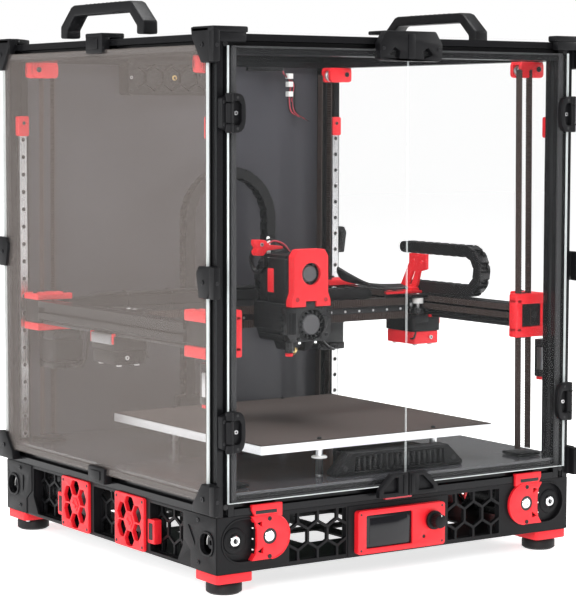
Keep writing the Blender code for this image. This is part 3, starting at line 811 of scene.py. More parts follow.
class PRINTER_OT_skirts(PieceOperator):
    """Skirts with honeycomb windows, corner slots and recesses"""
    bl_idname = "printer.skirts"
    bl_label = "Skirts"

    def execute(self, context):
        sizes = context.scene.printer_sizes

        def combs(windows, low=-53.5, high=-4.5):
            holes = []
            for start, end in windows:
                holes += honeycomb(start, low, end, high, sizes.comb_pitch, sizes.comb_rib)
            return holes

        outline = [(-230, -58), (230, -58), (230, -0.3), (-230, -0.3)]
        port = corner_port(225.4, -49.0, -2.6)
        slots = [port, flip(port, -1)]
        front = Piece("front_skirt_shell")
        front.plate(outline, "xz", -230, -226, BLACK, 0.7, combs(FRONT_COMBS) + slots)
        front.box((-229, -226.5, -58), (229, -214, -54.8), BLACK, 0.8)
        front.box((-229, -226.5, -3.2), (229, -222, -0.4), BLACK, 0.6)
        for start, end in FRONT_COMBS:
            front.plate([(start - 3, -56.5), (end + 3, -56.5), (end + 3, -1.5),
                         (start - 3, -1.5)], "xz", -227.2, -223, BLACK, 0.3,
                        [rounded(start + 0.5, -53, end - 0.5, -5, 1, 2)])
        front.done("cabinet", ["front_skirt"], "black_print")

        rear = Piece("rear_skirt_shell")
        rear.plate(outline, "xz", 226, 230, BLACK, 0.7, combs(REAR_COMBS))
        rear.box((-229, 214, -58), (229, 226.5, -54.8), BLACK, 0.8)
        for x in (-205, 205):
            for z in (-12, -46):
                rear.screw((x, 230, z), Y)
        rear.done("cabinet", ["rear_skirt"], "black_print")

        for side, sx in SIDES:
            shell = Piece(f"{side}_skirt_shell")
            fans = [circle((y, FAN_Z), 27.2, 36) for y in FAN_YS]
            ports = [rounded(-223, -39, -201, -18, 9, 6), rounded(201, -38, 223, -17, 9, 6)]
            windows = [[(-165, -3.4), (-165, -36), (-154, -54.6), (-98.5, -54.6), (-98.5, -3.4)],
                       rounded(-23, -54.6, 23, -3.4, 1.5, 2),
                       [(98.5, -3.4), (98.5, -54.6), (154, -54.6), (165, -36), (165, -3.4)]]
            edge = [(-225.7, -58), (225.7, -58), (225.7, -0.3), (-225.7, -0.3)]
            shell.plate(edge, "yz", sx * 227, sx * 230, BLACK, 0.7, windows + fans + ports)
            for start, end in SIDE_COMBS:
                shell.plate([(start, -56), (end, -56), (end, -2), (start, -2)], "yz", sx * 217.5,
                            sx * 220.5, BLACK, 0.5, combs([(start + 1.2, end - 1.2)], -54.8, -3.2))
                for y in (start, end):
                    shell.box((sx * 217.5, y - 0.8, -56), (sx * 227.5, y + 0.8, -2), BLACK, 0.3)
            for (_, sy), port in zip(ENDS, ports):
                edge = [(sy * 168, -0.5), (sy * 229.6, -0.5), (sy * 229.6, -57.8),
                        (sy * 181, -57.8), (sy * 181, -40), (sy * 168, -30)]
                notch = [(sy * 176, -14), (sy * 190, -14), (sy * 190, -34)]
                shell.plate(edge, "yz", sx * 229.6, sx * 231.0, BLACK, 0.5, [port, notch])
                ys, zs = zip(*port)
                rim = rounded(min(ys) - 2.2, min(zs) - 2.2, max(ys) + 2.2, max(zs) + 2.2, 10.5, 6)
                shell.plate(rim, "yz", sx * 230.4, sx * 232.2, BLACK, 0.6, [port])
                # Dark block behind the corner port: painted shade inside the skirt
                shell.box((sx * 212, sy * 196, -44), (sx * 216, sy * 226, -12), RECESS_SHADE, 1)
                shell.ring((sx * 222, sy * 212, -28), X, 6.2, 2.5, 9, BLACK_STEEL_AND_RAIL_SHADE, 28)
                for reach in (7.4, 9.6):
                    bow = arc((0, -28), reach, 200, -20, 12)
                    shell.tube([(sx * 224.5, sy * 212 + a, b) for a, b in bow], 0.55, "nylon", 6,
                               False)
                for z in (-50, -6.5):
                    shell.screw((sx * 230.8, sy * 196, z), sx * X, 2.2, BLACK_STEEL_AND_RAIL_SHADE, 1.4)
            shell.box((sx * 214, -225, -58), (sx * 226.5, 225, -56), BLACK, 0.6)
            shell.done("cabinet", [f"{side}_skirt"], "black_print")
        return {"FINISHED"}


class PRINTER_OT_tensioners(PieceOperator):
    """Front corner recesses and the red belt tensioner brackets"""
    bl_idname = "printer.tensioners"
    bl_label = "Tensioners"

    def execute(self, context):
        for side, sx in SIDES:
            unit = Piece(f"belt_tensioner_{side}")
            port = flip(corner_port(225.2, -48.8, -2.8), sx)
            dish = flip(corner_port(223.6, -47.2, -4.4), sx)
            unit.plate(port, "xz", -230.6, -226.0, BLACK, 0.5, [dish])
            unit.plate(port, "xz", -226.2, -223.0, BLACK, 0.3)
            unit.lathe([(7.4, 0), (13.6, 0), (13.2, 0.9), (12.2, 1.3), (8.4, 1.3), (7.4, 0.6),
                        (7.4, 0)], (sx * 207.2, -226.1, -25.8), -Y, BLACK, 36)
            unit.screw((sx * 207.2, -226.2, -25.8), -Y, 5.6, "bearing", 2.8)
            bow = arc((167.7, -24.0), 22.8, 90, 270, 20)
            bracket = [(190.8, -1.8), (188.6, -1.8)] + bow + [
                (190.8, -47), (186.2, -40), (184.6, -31), (184.6, -17), (186.2, -9)]
            bore = circle((169, -23.6), 8.2, 28)
            cuts = [[(177, -33.5), (184, -38.5), (177.5, -40.5)],
                    [(178.5, -13.5), (184.5, -9), (178.5, -7.5)]]
            unit.plate(flip(bracket, sx), "xz", -233.6, -226.2, RED, 0.8,
                       [flip(hole, sx) for hole in [bore] + cuts])
            tab = [(153.6, -4), (153.6, 9.8), (190.0, 9.8), (190.0, 4.2), (186, -4)]
            unit.plate(flip(tab, sx), "xz", -233.2, -228.4, RED, 0.7)
            # Thin dark strip on the tab: a painted shade line
            unit.box((sx * 160.5, -233.4, 0), (sx * 186, -233.0, 3.6), RECESS_SHADE, 0.1)
            unit.ring((sx * 169, -230.2, -23.6), Y, 8.4, 5.8, 6.2, BLACK_STEEL_AND_RAIL_SHADE, 30)
            unit.lathe([(0, 0), (5.7, 0), (5.7, 2.8), (5.0, 3.4), (2.4, 3.4), (2.2, 2.6),
                        (0, 2.6)], (sx * 169, -230.4, -23.6), -Y, "bearing", 30)
            rim = arc((167.7, -24.0), 22.8, 92, 268, 18)
            unit.tube([(sx * a, -233.4, b) for a, b in rim], 0.7, RED, 6, False)
            for z in (-44.2, -5.6):
                unit.screw((sx * 169.5, -233.4, z), -Y, 2.3, BLACK_STEEL_AND_RAIL_SHADE, 1.0)
            for z in (-14, -25, -36):
                unit.rod((sx * 188, -229.5, z), (sx * 188, -231, z), 0.9, "nylon", 10, 0.2)
            unit.done("cabinet", slot="red_print")
        return {"FINISHED"}


class PRINTER_OT_skirt_fans(PieceOperator):
    """Red fan grilles on both side skirts, fan bodies, hubs and duct ends"""
    bl_idname = "printer.skirt_fans"
    bl_label = "Skirt fans"

    def execute(self, context):
        for side, sx in SIDES:
            for (end, _), y in zip(ENDS, FAN_YS):
                grille = Piece(f"{side}_fan_grille_{end}")
                ring = circle((y, FAN_Z), 26.6, 40)
                petals = []
                for k in range(6):
                    angle = math.radians(60 * k + 30)
                    spot = (y + 19.4 * math.cos(angle), FAN_Z + 19.4 * math.sin(angle))
                    petals.append(within(arc(spot, 10.1, 0, 300, 5), ring))
                grille.plate(rounded(y - 30.6, -57.4, y + 30.6, -0.4, 2.6, 4), "yz", sx * 228.4,
                             sx * 233.2, RED, 0.8, petals)
                grille.plate(arc((y, FAN_Z), 8.2, 0, 300, 5), "yz", sx * 233.0, sx * 233.9, RED,
                             0.3)
                for turn in (20, 55):
                    angle = math.radians(turn)
                    a, b = 4.6 * math.cos(angle), 4.6 * math.sin(angle)
                    grille.tube([(sx * 233.9, y - a, FAN_Z - b), (sx * 233.9, y + a, FAN_Z + b)],
                                0.8, RED, 6, False)
                for dy in (-27, 27):
                    for z in (-4.8, -53.2):
                        grille.screw((sx * 233.0, y + dy, z), sx * X, 1.7, BLACK_STEEL_AND_RAIL_SHADE, 0.5)
                grille.done("cabinet", slot="red_print")

                body = Piece(f"{side}_fan_body_{end}")
                body.plate(rounded(y - 29.5, -57, y + 29.5, -1, 4, 3), "yz", sx * 204, sx * 225.6,
                           GLOSS, 0.8, [circle((y, FAN_Z), 27.4, 36)])
                for k in range(4):
                    angle = math.radians(90 * k + 45)
                    across = Vector((0, math.cos(angle), math.sin(angle)))
                    start = Vector((sx * 206, y, FAN_Z)) + across * 11
                    body.tube([start, start + across * 17], 1.6, GLOSS, 6, False)
                strut = sorted((sx * 205, sx * 207.5))
                body.rod((strut[0], y, FAN_Z), (strut[1] + 1, y, FAN_Z), 13.5, GLOSS, 28)
                body.done("cabinet", slot="dark_rotor")
                if side == "left":
                    hub = Piece(f"skirt_fan_hub_{end}")
                    hub.rod((-222.6, y, FAN_Z), (-210, y, FAN_Z), 13.2, "fan hub", 32, 1.4)
                    hub.done(f"skirt_fan_{end}", slot="dark_rotor")
        ducts = Piece("skirt_fan_ducts")
        for _, sx in SIDES:
            x0, x1 = sorted((sx * 221, sx * 230.4))
            for y in (-99.5, 99.5):
                ducts.box((x0, y - 8, -47), (x1, y + 6, -21), RED, 1.5)
                # Dark insets in the duct ends: painted shade
                ducts.box((x0 - 0.4, y - 5, -43), (x1 + 0.4, y + 3, -25), RECESS_SHADE, 0.8)
        ducts.done("cabinet", slot="red_print")
        return {"FINISHED"}


# ---------------------------------------------------------------- control panel

class PRINTER_OT_control_panel(PieceOperator):
    """Red display bezel with its screen, button and knob"""
    bl_idname = "printer.control_panel"
    bl_label = "Control panel"

    def execute(self, context):
        face = DISPLAY_FACE
        panel = Piece("display_bezel")
        outline = rounded(-62, -55, 52, -9.2, 3.5, 4)
        window = rounded(-51.5, -49.5, 8.5, -14.5, 1.5, 3)
        panel.plate(outline, "xz", face, -230.3, RED, 1.6, [window, circle((35, -27), 5.2, 24),
                                                            circle((24, -44), 2.1, 16)])
        panel.plate(window, "xz", face + 2.2, face + 4.2, "screen", 0.3)
        panel.plate(rounded(-46, -46, 3.5, -18, 0.8, 2), "xz", face + 1.9, face + 2.3, "screen",
                    0.1)
        # Dark block behind the knob and button holes: painted shade
        panel.box((9, face + 4, -50), (49, -231, -13), RECESS_SHADE, 0)
        panel.lathe([(10.4, -1.0), (11.6, 0), (11.6, 0.5), (10.4, 0.5), (10.4, -1.0)],
                    (35, face, -27), -Y, RED, 36)
        # Dark disc in the button hole: painted shade
        panel.rod((24, face + 0.8, -44), (24, face + 3, -44), 1.9, RECESS_SHADE, 14, 0.2)
        panel.plate([(-70, -58), (60, -58), (60, -4), (-70, -4)], "xz", -230.9, -229.8, BLACK, 0.4)
        for x, z in ((-58, -13), (48, -13), (-58, -51), (48, -51)):
            panel.rod((x, face - 0.1, z), (x, face + 1.2, z), 1.5, BLACK_STEEL_AND_RAIL_SHADE, 14, 0.3)
        panel.done("cabinet", ["display_housing"], "red_print")

        knob = Piece("menu_knob")
        base = (35, face - 0.3, -27)
        knob.lathe([(3.3, 1.2), (9.6, 1.2), (10.0, 1.7), (10.0, 4.6), (9.4, 5.3), (7.3, 5.6),
                    (7.3, 6.0), (3.3, 6.0), (3.3, 1.2)], base, -Y, BLACK, 40)
        ridges = []
        for k in range(26):
            for turn, radius in ((0, 6.9), (0.30, 7.45), (0.70, 7.45)):
                angle = 2 * math.pi * (k + turn) / 26
                ridges.append((35 + radius * math.cos(angle), -27 + radius * math.sin(angle)))
        knob.plate(ridges, "xz", face - 15.0, face - 5.9, BLACK, 0.25, segments=1)
        knob.lathe([(0, 14.6), (6.9, 14.6), (6.9, 15.2), (5.9, 15.7), (0, 15.7)], base, -Y, BLACK,
                   36)
        knob.box((34.6, face - 16.05, -22), (35.4, face - 15.9, -20), "nylon", 0)
        knob.done("knob", ["control_knob"], "black_print")
        return {"FINISHED"}


# ---------------------------------------------------------------- clips, doors, handles

def clip_plate(piece, low, high, normal):
    """A panel clip: a chamfered block with a raised middle."""
    piece.box(low, high, BLACK, 2.2)
    axis = max(range(3), key=lambda i: abs(normal[i]))
    inset = [(b - a) * 0.22 for a, b in zip(low, high)]
    rise_low = [a + i for a, i in zip(low, inset)]
    rise_high = [b - i for b, i in zip(high, inset)]
    if normal[axis] > 0:
        rise_low[axis], rise_high[axis] = high[axis] - 0.5, high[axis] + 1.2
    else:
        rise_low[axis], rise_high[axis] = low[axis] - 1.2, low[axis] + 0.5
    piece.box(rise_low, rise_high, BLACK, 0.8)


class PRINTER_OT_clips(PieceOperator):
    """Panel clips and corner clips on the outer edges"""
    bl_idname = "printer.clips"
    bl_label = "Clips"

    def execute(self, context):
        for side, sx in SIDES:
            clips = Piece(f"panel_clips_{side}")
            x0, x1 = sorted((sx * 229.5, sx * 240))
            for low, high in ((465, 485), (4, 22)):
                clip_plate(clips, (x0, -18, low), (x1, 18, high), (sx, 0, 0))
            clips.box((sx * 212, -18, 481.0), (sx * 240, 18, 486.6), BLACK, 1.6)
            for sy, ends in ((-1, (219, 251)), (1, (227, 260))):
                low, high = ends
                shape = [(sy * 231.5, low + 6), (sy * 231.5, high), (sy * 211, high),
                         (sy * 206, high - 7), (sy * 211, low), (sy * 226, low)]
                clips.plate(shape, "yz", x0, x1, BLACK, 1.6)
                clips.screw((sx * 240, sy * 219, (low + high) / 2), sx * X, 2.3, BLACK_STEEL_AND_RAIL_SHADE, 1.2)
                for low, high in ((451, 486.5), (3, 34)):
                    up, down = (high, low) if low > 100 else (low, high)
                    outline = [(sy * 231.5, up), (sy * 197, up), (sy * 199, up + (down - up) * 0.3),
                               (sy * 216, down), (sy * 231.5, down)]
                    clips.plate(outline, "yz", x0, x1, BLACK, 1.8)
                    clips.screw((sx * 240, sy * 219, (low + high) / 2), sx * X, 2.6, BLACK_STEEL_AND_RAIL_SHADE, 1.4)
                for low, high in ((452, 484), (2.8, 33), ends):
                    clips.box((sx * 231.6, sy * 229.8, low), (sx * 240, sy * 239.8, high), BLACK,
                              2.0)
                    clips.screw((sx * 235.8, sy * 239.6, (low + high) / 2), sy * Y, 1.9, BLACK_STEEL_AND_RAIL_SHADE, 1.0)
                cap = [(sx * 240, sy * 239.5), (sx * 240, sy * 199), (sx * 226, sy * 199),
                       (sx * 213, sy * 211), (sx * 199, sy * 226), (sx * 199, sy * 239.5)]
                clips.plate(cap, "xy", 480.6, 486.8, BLACK, 1.8)
                clips.plate([(sx * 232, sy * 239.5), (sx * 232, sy * 230.4),
                             (sx * 201, sy * 230.4), (sx * 201, sy * 239.5)], "xy", 471.5, 481,
                            BLACK, 1.6)
            clips.done("cabinet", slot="black_print")
        rear = Piece("panel_clips_rear")
        for low, high in ((465, 485), (4, 22)):
            clip_plate(rear, (-18, 229.6, low), (18, 239.5, high), Y)
        rear.box((-18, 212, 481), (18, 239.5, 486.6), BLACK, 1.6)
        rear.done("cabinet", slot="black_print")
        return {"FINISHED"}


class PRINTER_OT_doors(PieceOperator):
    """Hinges, handles, painted highlight strips along the door seams and edges, latch magnets and
    the keeper
    """
    bl_idname = "printer.doors"
    bl_label = "Doors"

    def execute(self, context):
        pin = HINGE_PIN
        for side, sx in SIDES:
            fixed = Piece(f"hinge_fixed_{side}")
            moving = Piece(f"hinge_moving_{side}")
            for low, high in ((65.5, 107.5), (382.5, 421.5)):
                middle, half = (low + high) / 2, (high - low) / 2
                fixed.plate([(sx * (pin - 1), low + 2), (sx * (pin + 7.6), low + 5),
                             (sx * (pin + 7.6), high - 5), (sx * (pin - 1), high - 2)], "xz",
                            -239.0, -230.2, BLACK, 1.4)
                for z in (low, high - 9):
                    fixed.rod((sx * pin, -240.5, z), (sx * pin, -240.5, z + 9), 4.2, BLACK, 20,
                              0.8)
                for z in (middle + 11, middle - 11):
                    fixed.screw((sx * (pin + 4.8), -238.9, z), -Y, 1.9, BLACK_STEEL_AND_RAIL_SHADE, 1.2)
                bow = [(pin - 17.4 * math.sin(math.radians(a)) ** 0.45,
                        middle + half * math.copysign(abs(math.cos(math.radians(a))) ** 0.7,
                                                      90 - a)) for a in range(0, 181, 12)]
                hole = [(pin - 4.0, middle + 12), (pin - 4.0, middle - 12),
                        (pin - 10, middle - 12), (pin - 12.5, middle - 8),
                        (pin - 12.5, middle + 8), (pin - 10, middle + 12)]
                bow, hole = flip(bow, sx), flip(hole, sx)
                moving.plate(bow, "xz", -243.4, -237.6, BLACK, 1.4, [hole])
                moving.plate(bow, "xz", -239.6, -236.6, BLACK, 0.6)
                moving.screw((sx * (pin - 8), -239.6, middle), -Y, 2.2, "steel", 1.2)
                # Small dark discs in the leaf's holes: painted shade
                for z in (low + 4.2, high - 4.2):
                    moving.rod((sx * (pin - 8), -243.6, z), (sx * (pin - 8), -242.8, z), 1.5,
                               RECESS_SHADE, 12, 0.2)
                moving.rod((sx * pin, -240.5, low + 9.5), (sx * pin, -240.5, high - 9.5), 4.2,
                           BLACK, 20, 0.8)
            fixed.done("cabinet", slot="black_print")
            # Painted highlight strips along the door's seam, outer edge and bottom edge
            for a, b, back in ((0.6, 0.85, -236.0), (219.7, 220.1, -233.2)):
                moving.box((sx * a, -236.4, 14), (sx * b, back, 468), "painted edge highlight", 0)
            moving.box((sx * 0.6, -236.5, 13.9), (sx * 220.2, -233.2, 14.25), "painted edge highlight", 0)
            for z in (14.0, 466.2):
                moving.box((sx * 2, -233.2, z), (sx * 214, -231.0, z + 1.8), "foam", 0.3)
            moving.box((sx * 209, -233.2, 16), (sx * 215, -231.0, 466), "foam", 0.3)
            moving.done(f"{side}_door", slot="black_print")

            grip = Piece(f"{side}_door_grip")
            outline = [(0.7, 2.7), (37.6, 2.7), (38.4, 3.4), (38.4, 11.2), (22.6, 27.1),
                       (0.7, 27.1)]
            recess = [(13.5, 7.2), (32.5, 7.2), (32.5, 10.6), (19.0, 23.0), (13.5, 23.0)]
            outline, recess = flip(outline, sx), flip(recess, sx)
            grip.plate(outline, "xz", -242.6, -236.6, BLACK, 1.0, [recess])
            grip.plate(recess, "xz", -239.0, -236.7, BLACK, 0.2)
            grip.box((sx * 2.6, -243.6, 5), (sx * 7.4, -242.0, 25), BLACK, 0.7)
            grip.done(f"{side}_door", [f"{side}_door_handle"], "black_print")

        latch = Piece("door_latch")
        latch.box((-24, -233.4, -1.0), (11, -229.8, 2.0), "magnet", 0.6)
        latch.box((-28, -232.6, 2.2), (26, -229.9, 8.5), BLACK, 0.8)
        latch.plate([(-39, 458), (-33, 455.8), (36, 455.8), (42, 458), (42, 474), (34, 486.5),
                     (-31, 486.5), (-39, 474)], "xz", -240.6, -230.2, BLACK, 1.6,
                    [[(-27, 463), (-15, 458.5), (-13, 466), (-20, 470)],
                     [(30, 463), (18, 458.5), (16, 466), (23, 470)]])
        # Dark block in the latch's openings: painted shade
        latch.box((-30, -232.8, 460), (33, -230.2, 478), RECESS_SHADE, 0.2)
        latch.box((-31, -240, 483), (34, -208, 487), BLACK, 1.4)
        latch.box((-3, -241.2, 458), (6, -240, 484), BLACK, 0.5)
        for x in (-34.5, 37.5):
            latch.screw((x, -240.5, 469), -Y, 1.8, BLACK_STEEL_AND_RAIL_SHADE, 1.0)
        latch.done("cabinet", slot="black_print")
        return {"FINISHED"}


class PRINTER_OT_carry_handles(PieceOperator):
    """Carry handles on the top side bars"""
    bl_idname = "printer.carry_handles"
    bl_label = "Carry handles"

    def execute(self, context):
        outer = [(-90, 483.7), (-90, 497), (-66, 517.2), (-60, 519), (60, 519), (66, 517.2),
                 (90, 497), (90, 483.7)]
        inner = [(76, 483.7), (76, 492), (60, 506.6), (57, 507.6), (-57, 507.6), (-60, 506.6),
                 (-76, 492), (-76, 483.7)]
        for side, sx in SIDES:
            handle = Piece(f"handle_{side}")
            x0, x1 = sorted((sx * 211, sx * 229))
            handle.plate([(a + 4, b) for a, b in outer + inner], "yz", x0, x1, BLACK, 2.4,
                         segments=3)
            for y in (-75.6, 83.6):
                handle.screw((sx * 220, y, 486), Z, 2.6, "steel", 1.8)
            for y in range(-32, 41, 9):
                handle.box((x0 + 2.5, y - 1.2, 518.6), (x1 - 2.5, y + 1.2, 519.3), BLACK, 0.3)
            handle.done("cabinet", [f"carry_handle_{side}"], "black_print")
        return {"FINISHED"}


# ---------------------------------------------------------------- lifts, bed and filter

def toothed(piece, start, end, facing, width, pitch, thick=1.6):
    """A toothed belt strand from start to end, with its teeth towards facing."""
    start, end, facing = Vector(start), Vector(end), Vector(facing).normalized()
    along = (end - start).normalized()
    across = along.cross(facing)
    length = (end - start).length
    profile = [(0, 0), (length, 0)]
    teeth = int(length / pitch)
    for k in range(teeth - 1, -1, -1):
        x = k * pitch
        profile += [(x + pitch * 0.95, thick * 0.55), (x + pitch * 0.78, thick),
                    (x + pitch * 0.30, thick), (x + pitch * 0.13, thick * 0.55)]
    shape = bmesh.new()
    rows = [[shape.verts.new(start + along * x + facing * h + across * s * width / 2)
             for x, h in profile] for s in (-1, 1)]
    shape.faces.new(rows[0])
    shape.faces.new(rows[1][::-1])
    for i in range(len(profile)):
        j = (i + 1) % len(profile)
        shape.faces.new([rows[0][i], rows[0][j], rows[1][j], rows[1][i]])
    bmesh.ops.recalc_face_normals(shape, faces=shape.faces)
    piece.take(shape, "belt")


class PRINTER_OT_lifts(PieceOperator):
    """Rail holes, red end stops, top belt idlers, belts and base drives"""
    bl_idname = "printer.lifts"
    bl_label = "Lifts"

    def execute(self, context):
        sizes = context.scene.printer_sizes
        for end, sy in ENDS:
            for side, sx in SIDES:
                rail = Piece(f"rail_holes_{end}_{side}")
                face = sy * 203.2
                z = 32.0
                while z < 374:
                    rail.ring((sx * 220, face + sy * 0.55, z), Y, 3.2, 2.3, 1.5, "steel", 16)
                    # Dark disc in each rail hole: painted shade
                    rail.rod((sx * 220, face + sy * 1.0, z), (sx * 220, face - sy * 0.1, z), 2.3,
                             RECESS_SHADE, 12, 0.1)
                    z += sizes.rail_pitch
                rail.plate(rounded(sx * 220 - 6.5, 376, sx * 220 + 6.5, 399, 2.2, 3), "xz",
                           sy * 209.6, sy * 200.7, RED, 0.8)
                # Dark disc in the stop's hole: painted shade
                rail.rod((sx * 220, sy * 200.5, 391), (sx * 220, sy * 202, 391), 2.1, RECESS_SHADE, 14,
                         0.1)
                rail.done("cabinet", slot="rail_steel")

                top = Piece(f"top_idler_{end}_{side}")
                shape = flip(rounded(190, 442, 222.5, 459.6, 4.5, 4), sx)
                for p0, p1 in ((172.5, 177.5), (187, 192)):
                    top.plate(shape, "xz", sy * p0, sy * p1, RED, 1.0)
                top.box((sx * 212, sy * 173, 443), (sx * 222.5, sy * 191, 459.6), RED, 1.0)
                top.box((sx * 191, sy * 173, 456), (sx * 222, sy * 191, 459.7), RED, 0.8)
                for radius, width in ((6.4, 8.6), (7.6, 1.2)):
                    top.ring((sx * 197, sy * 182.2, 450), Y, radius, 2.5, width, "steel", 28)
                top.screw((sx * 215, sy * (192 if sy < 0 else 172.5), 451.5), -Y, 3.0, BLACK_STEEL_AND_RAIL_SHADE, 1.2)
                top.done("cabinet", slot="red_print")

                belt = Piece(f"lift_belt_{end}_{side}")
                for x, facing in ((187.2, 1), (202.8, -1)):
                    toothed(belt, (sx * x, sy * 195, 30), (sx * x, sy * 191, 451),
                            (sx * facing, 0, 0), 9, sizes.tooth_pitch)
                belt.done("cabinet", slot="foot_rubber")

                drive = Piece(f"lift_drive_{end}_{side}")
                drive.box((sx * 178, sy * 180, 24), (sx * 209, sy * 209, 27.2), BLACK, 1)
                drive.box((sx * 170, sy * 178, -46), (sx * 212, sy * 214, -4), BLACK, 2)
                drive.rod((sx * 195, sy * 176, -28), (sx * 195, sy * 134, -28), 20.5, GLOSS, 28, 2)
                drive.box((sx * 178, sy * 130, -48), (sx * 214, sy * 172, -8), GLOSS, 3)
                drive.done("cabinet", slot="black_print")
        return {"FINISHED"}


class PRINTER_OT_bed(PieceOperator):
    """Thumb nuts, plate screws, heater, cross bars and the bed's lead"""
    bl_idname = "printer.bed"
    bl_label = "Bed"

    def execute(self, context):
        bed = Piece("bed_fittings")
        for x in (-75.5, 75.5):
            for y in (-186.0, 107.4):
                bed.lathe([(0, 0), (7.6, 0), (8.4, 0.6), (8.4, 1.8), (7.2, 2.6), (3.4, 2.8),
                           (3.2, 8.6), (0, 8.6)], (x, y, 41.6), Z, "nylon", 28)
                bed.rod((x, y, 24), (x, y, 42), 4.05, BLACK_STEEL_AND_RAIL_SHADE, 18)
                bed.screw((x, y, 61.5), Z, 2.4, BLACK_STEEL_AND_RAIL_SHADE, 2.6)
        bed.box((-140, -176, 50.2), (140, 98, 51.5), "silicone", 0.4)
        for side in (-1, 1):
            bed.box((side * 152.55, -191.6, 51.7), (side * 152.75, 113, 60.2), "plate", 0)
        bed.box((-152.4, -191.95, 51.9), (152.4, -191.75, 60.0), "plate", 0)
        for x in (-75.5, 75.5):
            bed.box((x - 10, -209, 0.3), (x + 10, 209, 19.9), "bar", 0.8)
        bed.tube([(20, 96, 51), (24, 118, 46), (30, 140, 32), (34, 160, 24), (36, 175, 23)], 2.6,
                 WIRE)
        bed.tube([(12, 96, 51), (15, 120, 45), (20, 142, 31), (26, 162, 24), (28, 176, 23)], 2.0,
                 "wire red")
        for x in (-36, 32):
            bed.rod((x, 176, 23.6), (x, 176, 25), 12, "rubber", 28, 0.5)
        bed.done("cabinet", slot="aluminium_plate")
        return {"FINISHED"}


class PRINTER_OT_filter(PieceOperator):
    """Filter box with its slats and end screws"""
    bl_idname = "printer.filter"
    bl_label = "Filter box"

    def execute(self, context):
        low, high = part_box("filter_box")
        x0, x1 = low[0] / MM, high[0] / MM
        y0, y1 = (low[1] - SHIFT) / MM, (high[1] - SHIFT) / MM
        z0 = (low[2] - BASE) / MM
        shell = Piece("filter_shell")
        outline = [(x0, z0), (x1, z0), (x1, z0 + 4.5), (x1 - 20, z0 + 23.3), (x0 + 20, z0 + 23.3),
                   (x0, z0 + 4.5)]
        window = [(x0 + 24, z0 + 3), (x1 - 24, z0 + 3), (x1 - 26, z0 + 19.5), (x0 + 26, z0 + 19.5)]
        shell.plate(outline, "xz", y0, y0 + 7, BLACK, 1.4, [window])
        shell.plate(outline, "xz", y0 + 7.2, y0 + 18.2, BLACK, 1.6)
        middle = (x0 + x1) / 2 - 8
        bow = arc((middle, y0 + 14), 57.6, 20, 160, 18)
        top = [(a, min(b, y1)) for a, b in bow]
        shell.plate([(middle + 54, y0 + 17)] + top + [(middle - 54, y0 + 17)], "xy", z0,
                    z0 + 21.5, BLACK, 1.2)
        lid = [(middle + (a - middle) * 0.93, b - 1.5) for a, b in top]
        shell.plate([(middle + 50, y0 + 17)] + lid + [(middle - 50, y0 + 17)], "xy", z0 + 21.4,
                    z0 + 23.2, BLACK, 0.8)
        count = context.scene.printer_sizes.slats
        span = x1 - x0 - 52
        for k in range(count):
            x = x0 + 26 + span * (k + 0.5) / count
            turn = (Matrix.Translation((x, y0 + 3.4, z0 + 11.7)) @ Matrix.Rotation(0.5, 4, "Z")
                    @ Matrix.Translation((-x, -y0 - 3.4, -z0 - 11.7)))
            shell.box((x - 1.4, y0 + 0.4, z0 + 3), (x + 1.4, y0 + 6.6, z0 + 19.4), GLOSS, 0.4,
                      turn)
        for x in (x0 + 12, x1 - 12):
            shell.ring((x, y0 - 0.2, z0 + 8), Y, 4.4, 2.9, 1.0, BLACK, 22)
            shell.screw((x, y0 + 0.3, z0 + 8), -Y, 2.6, BLACK_STEEL_AND_RAIL_SHADE, 1.2)
        shell.done("cabinet", ["filter_box"], "black_print")
        return {"FINISHED"}


# ---------------------------------------------------------------- gantry

